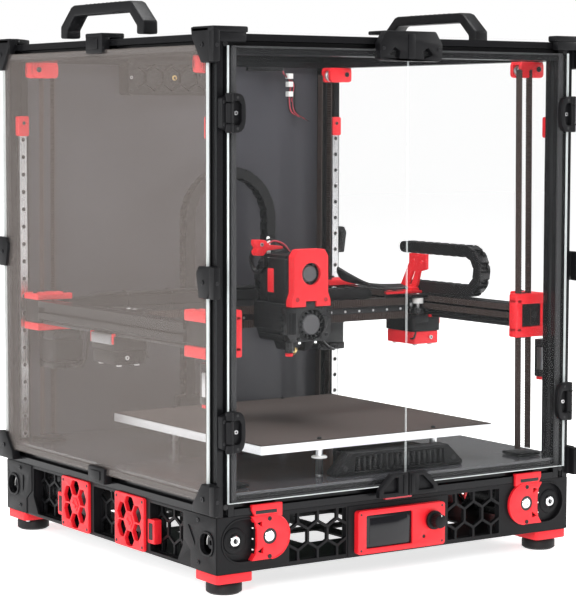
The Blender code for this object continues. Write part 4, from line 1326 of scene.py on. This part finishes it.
class PRINTER_OT_gantry(PieceOperator):
    """Side rails, belts along the beams, idler blocks and motor blocks"""
    bl_idname = "printer.gantry"
    bl_label = "Gantry"

    def execute(self, context):
        pitch = context.scene.printer_sizes.tooth_pitch
        for side, sx in SIDES:
            rail = Piece(f"side_rail_{side}")
            x0, x1 = sorted((sx * 210.5, sx * 219.5))
            # The steel rail is drawn in dark screw steel: painted shade
            rail.plate([(x0, 163.0), (x1, 163.0), (x1, 166), (x1 - 1, 166.6), (x1, 167.4),
                        (x1, 169.3), (x0, 169.3), (x0, 167.4), (x0 + 1, 166.6), (x0, 166)], "xz",
                       -156, 158, BLACK_STEEL_AND_RAIL_SHADE, 0.2)
            for z in (185.4, 176.2):
                toothed(rail, (sx * 203.6, -184, z), (sx * 203.6, 178, z), -sx * X, 6.4, pitch)
            rail.done("gantry", slot="rail_steel")

            idler = Piece(f"idler_housing_{side}")
            outline = flip([(204.8, -158.2), (204.8, -186.2), (180.3, -186.2), (180.3, -199.8),
                            (224.8, -199.8), (224.8, -158.2)], sx)
            for low, high in ((192, 203.8), (155.2, 167)):
                idler.plate(outline, "xy", low, high, RED, 2.2)
            core = [(205.4, -158.4), (205.4, -186.8), (187, -186.8), (187, -198), (222, -198),
                    (222, -158.4)]
            idler.plate(flip(core, sx), "xy", 167.2, 191.8, BLACK, 1.2)
            idler.box((sx * 180.3, -199.8, 160), (sx * 189.5, -186.4, 199), RED, 2.4)
            if side == "left":
                idler.box((sx * 194, -199.6, 169), (sx * 221, -190, 190), BLACK, 1.8)
            else:
                idler.box((sx * 216, -199.6, 158), (sx * 224.8, -186.6, 201), RED, 1.6)
            for x, y in ((214, -168), (196, -193)):
                idler.screw((sx * x, y, 203.7), Z, 2.6, BLACK_STEEL_AND_RAIL_SHADE, 1.2)
                idler.screw((sx * x, y, 155.3), -Z, 2.6, BLACK_STEEL_AND_RAIL_SHADE, 1.2)
            idler.screw((sx * 206, -199.7, 180), -Y, 3.2, BLACK_STEEL_AND_RAIL_SHADE, 1.0)
            idler.box((sx * 213.5, -202.6, 110), (sx * 226.5, -192, 152), GLOSS, 1.0)
            idler.box((sx * 213.3, -202.8, 118), (sx * 226.7, -196, 143), "steel", 0.6)
            idler.box((sx * 214.5, -202.0, 106.5), (sx * 225.5, -194, 110), RED, 0.6)
            idler.done("gantry", [f"idler_block_{side}"], "red_print")

            drive = Piece(f"drive_housing_{side}")
            outline = flip([(180.3, 160.2), (180.3, 199.8), (219, 199.8), (225, 194),
                            (225, 160.2)], sx)
            for low, high in ((190, 196.9), (155.2, 163.5)):
                drive.plate(outline, "xy", low, high, RED, 1.4)
            drive.box((sx * 206, 162, 163.6), (sx * 223, 196, 190), BLACK, 1.2)
            drive.ring((sx * 185, 180, 171.5), Z, 7.4, 2.5, 12, "plate", 24)
            drive.ring((sx * 203, 180, 183), Z, 8.4, 2.5, 9, "bearing", 26)
            for x, y in ((186, 167), (186, 193), (208, 193), (218, 180)):
                drive.screw((sx * x, y, 196.8), Z, 2.6, BLACK_STEEL_AND_RAIL_SHADE)
            square = rounded(sx * 164.3, 159.3, sx * 205.8, 198.8, 4.5, 3)
            drive.plate(square, "xy", 143, 155, GLOSS, 0.6)
            drive.plate(rounded(sx * 164.9, 159.9, sx * 205.2, 198.2, 5.5, 3), "xy", 118.5, 142.8,
                        "chain", 0.6)
            drive.plate(square, "xy", 110.2, 118.3, GLOSS, 0.6)
            drive.box((sx * 178, 154.5, 111), (sx * 192, 160.5, 118), "chain", 0.6)
            drive.tube([(sx * 185, 155, 114), (sx * 180, 150, 112), (sx * 168, 152, 120),
                        (sx * 156, 166, 150), (sx * 148, 176, 168)], 1.8, WIRE)
            drive.done("gantry", [f"drive_block_{side}"], "red_print")
        cover = Piece("gantry_rear_fittings")
        cover.box((-12, 189.6, 171), (62, 194, 189), BLACK, 1.2)
        cover.box((104, 189.6, 172), (128, 206, 193), RED, 1.4)
        cover.screw((110, 206, 178), Y, 2.4)
        cover.tube([(138, 176, 170), (120, 182, 192), (90, 183, 191.5), (20, 183, 191.5),
                    (-60, 183, 191.5), (-138, 182, 191), (-150, 178, 180)], 2.4, WIRE)
        for x in (-100, -40, 30, 80):
            cover.ring((x, 181, 184), X, 11.5, 10.8, 2.2, BLACK, 18)
        cover.done("gantry", slot="black_print")
        return {"FINISHED"}


class PRINTER_OT_cross(PieceOperator):
    """Cross beam rail and belts, joint housings and chain brackets"""
    bl_idname = "printer.cross"
    bl_label = "Cross beam"

    def execute(self, context):
        sizes = context.scene.printer_sizes
        rail = Piece("cross_rail")
        # The steel rail is drawn in dark screw steel: painted shade
        rail.plate([(5.8, 169.2), (5.8, 178.2), (3.6, 178.2), (2.8, 177.4), (2, 178.2),
                    (-0.8, 178.2), (-0.8, 169.2), (2, 169.2), (2.8, 170), (3.6, 169.2)], "yz",
                   -178, 178, BLACK_STEEL_AND_RAIL_SHADE, 0.2)
        x = -170.0
        while x < 172:
            rail.rod((x, -0.2, 173.7), (x, -1.3, 173.7), 1.5, "steel", 12, 0.2)
            x += sizes.rail_pitch
        for z in (182.6, 166.6):
            toothed(rail, (-181, -1.4, z), (181, -1.4, z), -Y, 8.2, sizes.tooth_pitch)
        rail.done("cross_carriage", slot="rail_steel")

        for side, sx in SIDES:
            joint = Piece(f"joint_housing_{side}")
            joint.plate(rounded(sx * 180.2, -11.6, sx * 221.6, 43.6, 4, 4), "xy", 146.3, 162.6,
                        BLACK, 1.2)
            joint.plate(rounded(sx * 181.7, -10.6, sx * 220.1, 42.6, 4, 4), "xy", 131.2, 146.1,
                        RED if side == "right" else BLACK, 1.6)
            joint.box((sx * 178.6, -4, 159), (sx * 204.2, 41, 166), BLACK, 1.2)
            joint.box((sx * 178.6, 1, 184), (sx * 204.2, 41, 190), BLACK, 1.4)
            joint.box((sx * 178, 24, 164), (sx * 196, 42, 186), BLACK, 1.2)
            for y, pulley in ((-4.5, "nylon"), (9, "chain")):
                joint.ring((sx * 193, y, 183), Z, 6.4, 2.5, 7.6, pulley, 26)
                joint.ring((sx * 193, y, 171), Z, 8.4, 2.5, 8, GLOSS, 26)
                joint.rod((sx * 193, y, 158), (sx * 193, y, 191), 2.4, "steel", 16)
            joint.box((sx * 178.6, -12, 186), (sx * 204.2, 4, 190.5), BLACK, 1.4)
            joint.box((sx * 184, -12, 157), (sx * 203, 4, 166), BLACK, 1.2)
            joint.box((sx * 206, -6, 153.5), (sx * 224, 38, 164.6), "cut bar", 0.8)
            for y in (-8.5, 38.2):
                joint.box((sx * 207, y, 154), (sx * 223, y + 2.6, 165.5), RED, 0.5)
            for x, y in ((190, -3), (212, -3), (190, 36), (212, 36)):
                joint.screw((sx * x, y, 131.3), -Z, 3.0)
            joint.screw((sx * 207, -11.7, 139), -Y, 2.4, "steel", 1)
            for k in range(5):
                joint.tube([(sx * 187, -9 + k, 148 - k), (sx * (183 - k * 0.5), -13, 143 - k),
                            (sx * (182 - k * 0.4), -11 + k, 138)], 0.9, WIRE, 6)
            joint.done("cross_carriage", [f"joint_block_{side}"], "black_print")

        arm = Piece("chain_bracket")
        outline = [(19, 190.5), (44, 190.5), (44, 196), (26, 226), (26, 237), (-7, 237),
                   (-7, 219), (6, 216), (11, 200)]
        slot = [(22, 199), (28, 200), (19, 216), (14, 216)]
        arm.plate(outline, "yz", 202.6, 206.6, RED, 1.0, [slot, circle((1, 228), 2.6, 14),
                                                          circle((17, 229), 2.6, 14)])
        arm.plate([(154, 6), (206, 4), (206, 38), (186, 38), (160, 18)], "xy", 190.4, 193.6, RED,
                  1.0)
        arm.box((192, 6, 193), (203, 22, 197), RED, 1.6)
        arm.screw((176, 20, 193.5), Z, 2.6, BLACK_STEEL_AND_RAIL_SHADE, 1.4)
        arm.done("cross_carriage", slot="red_print")
        leads = Piece("bracket_leads")
        for k in range(6):
            dy = k * 2.4
            leads.tube([(88 + k, 12 + dy / 2, 224 - k), (104, 10 + dy, 215 - k),
                        (128, 8 + dy, 204), (156, 6 + dy, 198 + k / 2),
                        (186, 8 + dy, 197 + k / 2)], 2.0, WIRE, 8)
        leads.done("cross_carriage", slot="chain_plastic")
        return {"FINISHED"}


# ---------------------------------------------------------------- print head

class PRINTER_OT_head(PieceOperator):
    """Head body, red cowl, duct, nozzle, probe, leads and arm"""
    bl_idname = "printer.head"
    bl_label = "Print head"

    def execute(self, context):
        low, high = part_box("print_head_body")
        cx = (low[0] + high[0]) / 2 / MM
        body = Piece("head_body")
        left, right = cx - 31, cx + 31
        body.plate(rounded(left + 5.2, -67.8, right - 5.2, -30, 4, 4), "xy", 189.8, 243, BLACK,
                   2.4)
        body.plate(rounded(left + 9, -31, right - 9, -8, 3, 3), "xy", 189.8, 238, BLACK, 1.4)
        body.plate(rounded(left + 0.4, -67.8, right - 0.4, -7.6, 5, 4), "xy", 164, 193.5, BLACK,
                   1.6)
        body.plate([(left + 1, 189.4), (left + 1, 168), (left + 7, 151), (left + 14, 150.2),
                    (right - 14, 150.2), (right - 7, 151), (right - 1, 168), (right - 1, 189.4)],
                   "xz", -60, -12, BLACK, 1.6)
        fan = (cx + 3.6, 170.0)
        chin = [(left + 1.2, 189.4), (left + 1.2, 160), (left + 8, 151.4), (right - 8, 151.4),
                (right - 1.2, 160), (right - 1.2, 189.4)]
        body.plate(chin, "xz", -75.8, -62, GLOSS, 1.4, [circle(fan, 16.9, 40)])
        body.ring((fan[0], -75.4, fan[1]), Y, 18.3, 16.8, 2.6, GLOSS, 44)
        # Dark disc behind the fan: painted shade
        body.rod((fan[0], -65.6, fan[1]), (fan[0], -62, fan[1]), 16.8, RECESS_SHADE, 32)
        for k in range(6):
            body.box((left + 2.4 + k * 1.9, -76.6, 160), (left + 3.2 + k * 1.9, -75.4, 184),
                     BLACK, 0.2)
        for z in (156.5, 162.5, 168.5, 174.5, 180.5):
            body.box((left + 0.2, -70, z), (left + 2.4, -22, z + 2.4), BLACK, 0.6)
        for dx, z in ((25.5, 184.5), (-14.5, 155), (23, 158.5)):
            body.screw((cx + dx, -75.7, z), -Y, 2.0, BLACK_STEEL_AND_RAIL_SHADE, 1.2)
        for sx in (-1, 1):
            body.plate([(cx + sx * 7, 151), (cx + sx * 20, 151), (cx + sx * 16, 141),
                        (cx + sx * 6, 138.5)], "xz", -58, -34, BLACK, 1.4)
        body.lathe([(0, 0), (1.0, 0), (3.6, 3.2), (3.6, 5), (4.6, 5), (4.6, 9.5), (0, 9.5)],
                   (cx, -45, 133.7), Z, "brass", 6)
        body.box((cx - 9, -53, 142.6), (cx + 9, -37, 151), BLACK_STEEL_AND_RAIL_SHADE, 0.8)
        body.rod((cx - 22, -69, 139.5), (cx - 22, -69, 152), 4.6, GLOSS, 22)
        body.ring((cx - 22, -69, 137.4), Z, 4.4, 2.6, 3.4, RED, 22)
        for x in (cx - 9, cx + 12.5):
            body.rod((x, -70, 148.5), (x, -70, 151.6), 1.4, "lamp", 14)
        body.plate([(left + 4.4, 205), (left + 4.4, 229), (left + 5.4, 232), (left + 9, 232),
                    (left + 9, 203)], "xz", -44, -32, RED, 0.8)
        body.plate(rounded(left + 9, -60, right - 9, -20, 3, 3), "xy", 242.8, 246.5, BLACK, 1.4)
        body.ring((left + 7, -10, 239), X, 15.5, 12.8, 5, GLOSS, 30)
        body.plate(rounded(cx - 21, 158.5, cx + 21, 192.5, 2.5, 3), "xz", -7.6, -2.4, "rail", 0.8)
        for x in (cx - 24.2, cx + 21.6):
            body.box((x, -7.2, 164.5), (x + 2.6, -1.4, 183), RED, 0.5)
        body.done("print_head", ["print_head_body"], "black_print")

        cowl = Piece("head_cowl")
        edge = [(26, 190.4), (26, 197), (22.6, 206), (22.6, 246), (18, 253), (14, 253.8)]
        notch = [(7, 190.4), (7, 196.4), (-7, 196.4), (-7, 190.4)]
        outline = [(cx + a, b) for a, b in flip(edge, -1) + edge[::-1] + notch]
        fan = (cx, 226.5)
        cowl.plate(outline, "xz", -79.8, -75.8, RED, 1.9, [circle(fan, 12.3, 40)], segments=3)
        cowl.plate(outline, "xz", -76.2, -68.4, RED, 0.8, [circle(fan, 17.6, 40)])
        cowl.lathe([(12.3, 0), (14.2, -0.5), (14.6, -0.3), (14.6, 0.8), (12.3, 0.8), (12.3, 0)],
                   (fan[0], -79.6, fan[1]), Y, RED, 40)
        # Dark ring in the fan opening: painted shade
        cowl.ring((fan[0], -75, fan[1]), Y, 17.4, 12.4, 1.6, RECESS_SHADE, 40)
        for dx, z in ((-18.5, 198.5), (19.5, 197.5)):
            cowl.ring((cx + dx, -79.6, z), Y, 4.2, 2.5, 1.2, RED, 22)
            cowl.screw((cx + dx, -79.0, z), -Y, 2.2, BLACK_STEEL_AND_RAIL_SHADE, 0.9)
        cowl.box((cx - 6.8, -78, 189), (cx + 6.8, -72, 196), GLOSS, 0.8)
        cowl.done("print_head", ["print_head_cowl"], "red_print")

        for name, centre, y0, y1, radius in (("part_fan_hub", (cx + 3.6, 170), -75.4, -67.5, 11.6),
                                             ("hotend_fan_hub", fan, -77.0, -69.3, 9.5)):
            hub = Piece(name)
            hub.rod((centre[0], y1, centre[1]), (centre[0], y0, centre[1]), radius, "fan hub", 36,
                    1.2)
            hub.done(name[:-4], slot="dark_rotor")

        arm = Piece("head_arm")
        arm.plate([(left - 4, 244.5), (left + 4, 244.5), (left + 9, 250), (left + 30, 251.5),
                   (left + 30, 254.6), (left + 12, 256.5), (left + 6, 262), (left - 6, 262.5),
                   (left - 6, 257), (left - 3, 253), (left - 6, 249)], "xz", -26, -14, RED, 1.4)
        arm.screw((left + 1, -26, 257), -Y, 2.2, "steel", 1)
        arm.tube([(left + 8, -16, 256), (left + 16, -18, 262), (left + 26, -20, 259),
                  (left + 34, -24, 252), (left + 40, -26, 246)], 1.1, WIRE)
        arm.tube([(left + 8, -22, 255), (left + 18, -24, 260.5), (left + 30, -26, 257),
                  (left + 38, -28, 248)], 0.9, "wire red")
        arm.tube([(left + 20, -12, 247), (left + 24, -4, 262), (left + 30, 4, 258),
                  (left + 34, 10, 240), (left + 34, 14, 230)], 2.0, "nylon")
        arm.done("print_head", slot="red_print")
        return {"FINISHED"}


# ---------------------------------------------------------------- cable chains

def chain_link(piece, spot, along, out, width_axis, pitch, thick, width):
    """One chain link: two cheeks joined by bars, with a round knuckle at one end."""
    turn = Matrix((along, out, width_axis)).transposed().to_4x4()
    turn.translation = spot
    half, side = pitch / 2, width / 2
    knuckle = thick * 0.46
    for s in (-1, 1):
        cheek = ([(-half * 0.62, -thick / 2 + 0.6), (half * 0.75, -thick / 2 + 0.6)]
                 + arc((half * 0.82, 0), knuckle, -60, 60, 4)
                 + [(half * 0.75, thick / 2 - 0.6), (-half * 0.62, thick / 2 - 0.6)])
        piece.plate(cheek, "xy", s * side, s * (side - 1.9), "chain", 0.5, turn=turn, segments=1)
        piece.plate(circle((-half * 0.9, 0), knuckle, 12), "xy", s * (side - 1.9),
                    s * (side - 3.6), "chain", 0.3, turn=turn, segments=1)
    for y in (-thick / 2 + 0.3, thick / 2 - 1.7):
        piece.box((-half * 0.5, y, -side + 0.6), (half * 0.5, y + 1.4, side - 0.6), "chain", 0.4,
                  turn)
    piece.box((-half, -thick * 0.26, -side + 3.0), (half, thick * 0.26, side - 3.0), WIRE, 0.8,
              turn)


def chain_run(name, centre, radius, legs, out, rise, sizes, width=15.8, thick=14.6):
    """Links round a U: a leg, half a turn and the other leg.

    out points towards the legs' free ends, and rise from the first leg to the second.
    """
    length = legs[0] + math.pi * radius + legs[1]
    count = max(4, round(length / sizes.link_pitch))
    pitch = length / count
    halves = (Piece(f"{name}_first"), Piece(f"{name}_second"))
    for k in range(count):
        s = (k + 0.5) * pitch
        if s < legs[0]:
            offset = out * (legs[0] - s) - rise * radius
            along, normal = -out, -rise
        elif s < legs[0] + math.pi * radius:
            angle = (s - legs[0]) / radius
            normal = -rise * math.cos(angle) - out * math.sin(angle)
            offset = normal * radius
            along = -out * math.cos(angle) + rise * math.sin(angle)
        else:
            offset = out * (s - legs[0] - math.pi * radius) + rise * radius
            along, normal = out, rise
        piece = halves[0] if k < count / 2 else halves[1]
        chain_link(piece, centre + offset, along, normal, along.cross(normal), pitch, thick, width)
    return halves


class PRINTER_OT_chains(PieceOperator):
    """Three cable chains, each built in two halves"""
    bl_idname = "printer.chains"
    bl_label = "Cable chains"

    def execute(self, context):
        sizes = context.scene.printer_sizes
        for name, parent, child, out, rise in (("y_chain", "gantry", "cross_carriage", Y, Z),
                                               ("x_chain", "cross_carriage", "print_head", X, Z),
                                               ("z_chain", "cabinet", "gantry", -Z, X)):
            low, high = (Vector(v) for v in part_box(name))
            low, high = ((v - Vector((0, SHIFT, BASE))) / MM for v in (low, high))
            centre = (low + high) / 2
            thick = 15.0
            span = abs((high - low).dot(rise))
            radius = (span - thick) / 2
            reach = abs((high - low).dot(out))
            bend = radius + thick / 2
            apex = low.dot(out) if out.dot(high - low) > 0 else high.dot(out)
            centre = centre - out * centre.dot(out) + out * (apex + bend)
            lengths = {"y_chain": (110, 149 - bend), "x_chain": (151 - bend, 33 - bend),
                       "z_chain": (reach - bend, reach - bend - 134)}[name]
            first, second = chain_run(name, centre, radius, lengths, out, rise, sizes)
            start = centre + out * lengths[0]
            bend_point = centre - out * bend
            finish_point = centre + out * lengths[1]
            fixed_end = start + (bend_point - start) * 2
            moved_start = finish_point - (finish_point - bend_point) * 2
            one = first.done(None, slot="chain_plastic")
            two = second.done(None, [name], "chain_plastic")
            TO_SCENE @ start
            TO_SCENE @ fixed_end
            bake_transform(one)
            TO_SCENE @ moved_start
            TO_SCENE @ finish_point
            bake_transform(two)
        return {"FINISHED"}


# ---------------------------------------------------------------- rear wall, wiring, base

class PRINTER_OT_fittings(PieceOperator):
    """Exhaust housing, corner wiring, power inlet and the base's electronics"""
    bl_idname = "printer.fittings"
    bl_label = "Fittings"

    def execute(self, context):
        exhaust = Piece("exhaust_housing")
        grille = honeycomb(-72, 429, 36, 461, 24, 2.6)
        exhaust.plate(rounded(-80, 424, 42, 466, 5, 4), "xz", 204, 209.6, BLACK, 1.2, grille)
        # Dark block behind the grille: painted shade inside the housing
        exhaust.box((-77, 209.7, 425), (41, 232.5, 465), RECESS_SHADE, 2)
        exhaust.lathe([(0, 0), (6.5, 0), (6.5, 1.2), (5, 2.2), (0, 2.2)], (-18, 204, 445), -Y,
                      BLACK, 26)
        exhaust.screw((-18, 201.9, 445), -Y, 3.2, "brass", 1.2)
        exhaust.screw((-76, 204, 445), -Y, 2.0, "steel", 1.0)
        for x, z in ((-76, 430), (38.5, 430), (-76, 460), (38.5, 460)):
            exhaust.screw((x, 204, z), -Y, 2.0, BLACK_STEEL_AND_RAIL_SHADE, 1.2)
        exhaust.ring((-18, 237.6, 445), Y, 17.5, 13.5, 2.6, BLACK, 32)
        exhaust.done("cabinet", slot="black_print")

        wiring = Piece("corner_wiring")
        seed = random.Random(7)
        for k in range(5):
            x = 150 + k * 2.2
            wiring.tube([(128 + k * 3, 205, 459), (142 + k, 204, 452 - k), (x, 205, 440),
                         (x + seed.uniform(-2, 2), 206, 420), (x + 4, 207, 404),
                         (x + 24, 208, 398 - k)], 0.9, "wire red" if k % 2 else WIRE, 6)
        for z in (424, 436, 446):
            wiring.box((146, 200, z), (153, 207, z + 6.5), "nylon", 0.5)
        wiring.box((88, 203.5, 455), (140, 209, 459.6), BLACK, 0.8)
        wiring.box((60, 206, 19), (64, 209.5, 70), BLACK, 0.5)
        wiring.box((-14, 196, 24), (14, 210, 62), BLACK, 1.4)
        wiring.done("cabinet", slot="black_print")

        inlet = Piece("power_inlet")
        inlet.plate(rounded(150, -50, 192, -8, 3, 3), "xz", 230.1, 232.6, BLACK, 0.8,
                    [rounded(157, -44, 185, -26, 3, 3), rounded(160, -22, 182, -12, 1.2, 2)])
        # Dark block in the socket recess: painted shade
        inlet.box((157, 224, -44), (185, 229, -26), RECESS_SHADE, 0.5)
        for x in (164, 171, 178):
            z = -34 if x == 171 else -37
            inlet.box((x - 0.9, 224, z), (x + 0.9, 231, z + 4), "bearing", 0.2)
        turn = (Matrix.Translation((171, 231, -17)) @ Matrix.Rotation(0.12, 4, "X")
                @ Matrix.Translation((-171, -231, 17)))
        inlet.box((160.6, 228, -21.6), (181.4, 233.2, -12.4), GLOSS, 0.9, turn)
        inlet.done("cabinet", slot="black_print")

        bay = Piece("base_electronics")
        for x in (-120, 120):
            bay.box((x - 17.5, -150, -4.5), (x + 17.5, 150, -1.0), "rail", 0.5)
        bay.box((-30, 20, -44), (85, 170, -6), "tin", 1.5)
        # Dark slots in the casing: painted shade in its vents
        for k in range(8):
            bay.box((-24 + k * 13, 19.6, -38), (-18 + k * 13, 20.4, -14), RECESS_SHADE, 0.2)
        bay.box((-60, -150, -12), (60, -60, -10), "board", 0.3)
        bay.box((-150, 20, -12), (-60, 100, -10), "board", 0.3)
        seed = random.Random(3)
        for k in range(26):
            x, y = seed.uniform(-54, 48), seed.uniform(-145, -70)
            size = seed.uniform(3, 9)
            bay.box((x, y, -12 - seed.uniform(2, 8)), (x + size, y + size, -11.9),
                    GLOSS if k % 3 else "nylon", 0.4)
        for k in range(12):
            x, y = seed.uniform(-146, -72), seed.uniform(24, 90)
            size = seed.uniform(4, 10)
            bay.box((x, y, -12 - seed.uniform(2, 7)), (x + size, y + size, -11.9),
                    GLOSS if k % 2 else "plate", 0.4)
        bay.plate(rounded(-216, -222, 216, 222, 6, 3), "xy", -57.2, -55.2, BLACK, 0.4,
                  [rounded(-150 + 78 * i, -150 + 78 * j, -92 + 78 * i, -92 + 78 * j, 5, 3)
                   for i in range(4) for j in range(4)])
        bay.tube([(100, -100, -20), (104, -40, -24), (98, 30, -22), (92, 90, -20)], 3.0, WIRE)
        bay.tube([(-110, -90, -16), (-100, -30, -22), (-104, 10, -16)], 2.6, "wire red")
        bay.done("cabinet", slot="black_print")
        return {"FINISHED"}


# ---------------------------------------------------------------- panel and registration

STEPS = (PRINTER_OT_stage, PRINTER_OT_frame, PRINTER_OT_feet, PRINTER_OT_skirts,
         PRINTER_OT_tensioners, PRINTER_OT_skirt_fans, PRINTER_OT_control_panel, PRINTER_OT_clips,
         PRINTER_OT_doors, PRINTER_OT_carry_handles, PRINTER_OT_lifts, PRINTER_OT_bed,
         PRINTER_OT_filter, PRINTER_OT_gantry, PRINTER_OT_cross, PRINTER_OT_head,
         PRINTER_OT_chains, PRINTER_OT_fittings)


class PRINTER_PT_build(bpy.types.Panel):
    """Buttons for every group of pieces"""
    bl_idname = "PRINTER_PT_build"
    bl_label = "Enclosed printer"
    bl_space_type = "VIEW_3D"
    bl_region_type = "UI"
    bl_category = "Printer"

    def draw(self, context):
        layout = self.layout
        for group in (context.scene.printer_looks, context.scene.printer_sizes):
            for name in group.__annotations__:
                layout.prop(group, name)
        for step in STEPS:
            layout.operator(step.bl_idname)


CLASSES = (PrinterLooks, PrinterSizes) + STEPS + (PRINTER_PT_build,)


def register():
    for cls in CLASSES:
        bpy.utils.register_class(cls)
    bpy.types.Scene.printer_looks = PointerProperty(type=PrinterLooks)
    bpy.types.Scene.printer_sizes = PointerProperty(type=PrinterSizes)


def unregister():
    del bpy.types.Scene.printer_sizes
    del bpy.types.Scene.printer_looks
    for cls in reversed(CLASSES):
        bpy.utils.unregister_class(cls)


def main():
    register()
    for step in STEPS:
        group, name = step.bl_idname.split(".")
        if "FINISHED" not in getattr(getattr(bpy.ops, group), name)():
            raise RuntimeError(f"{step.bl_label} was not built")


if __name__ == "__main__":
    main()
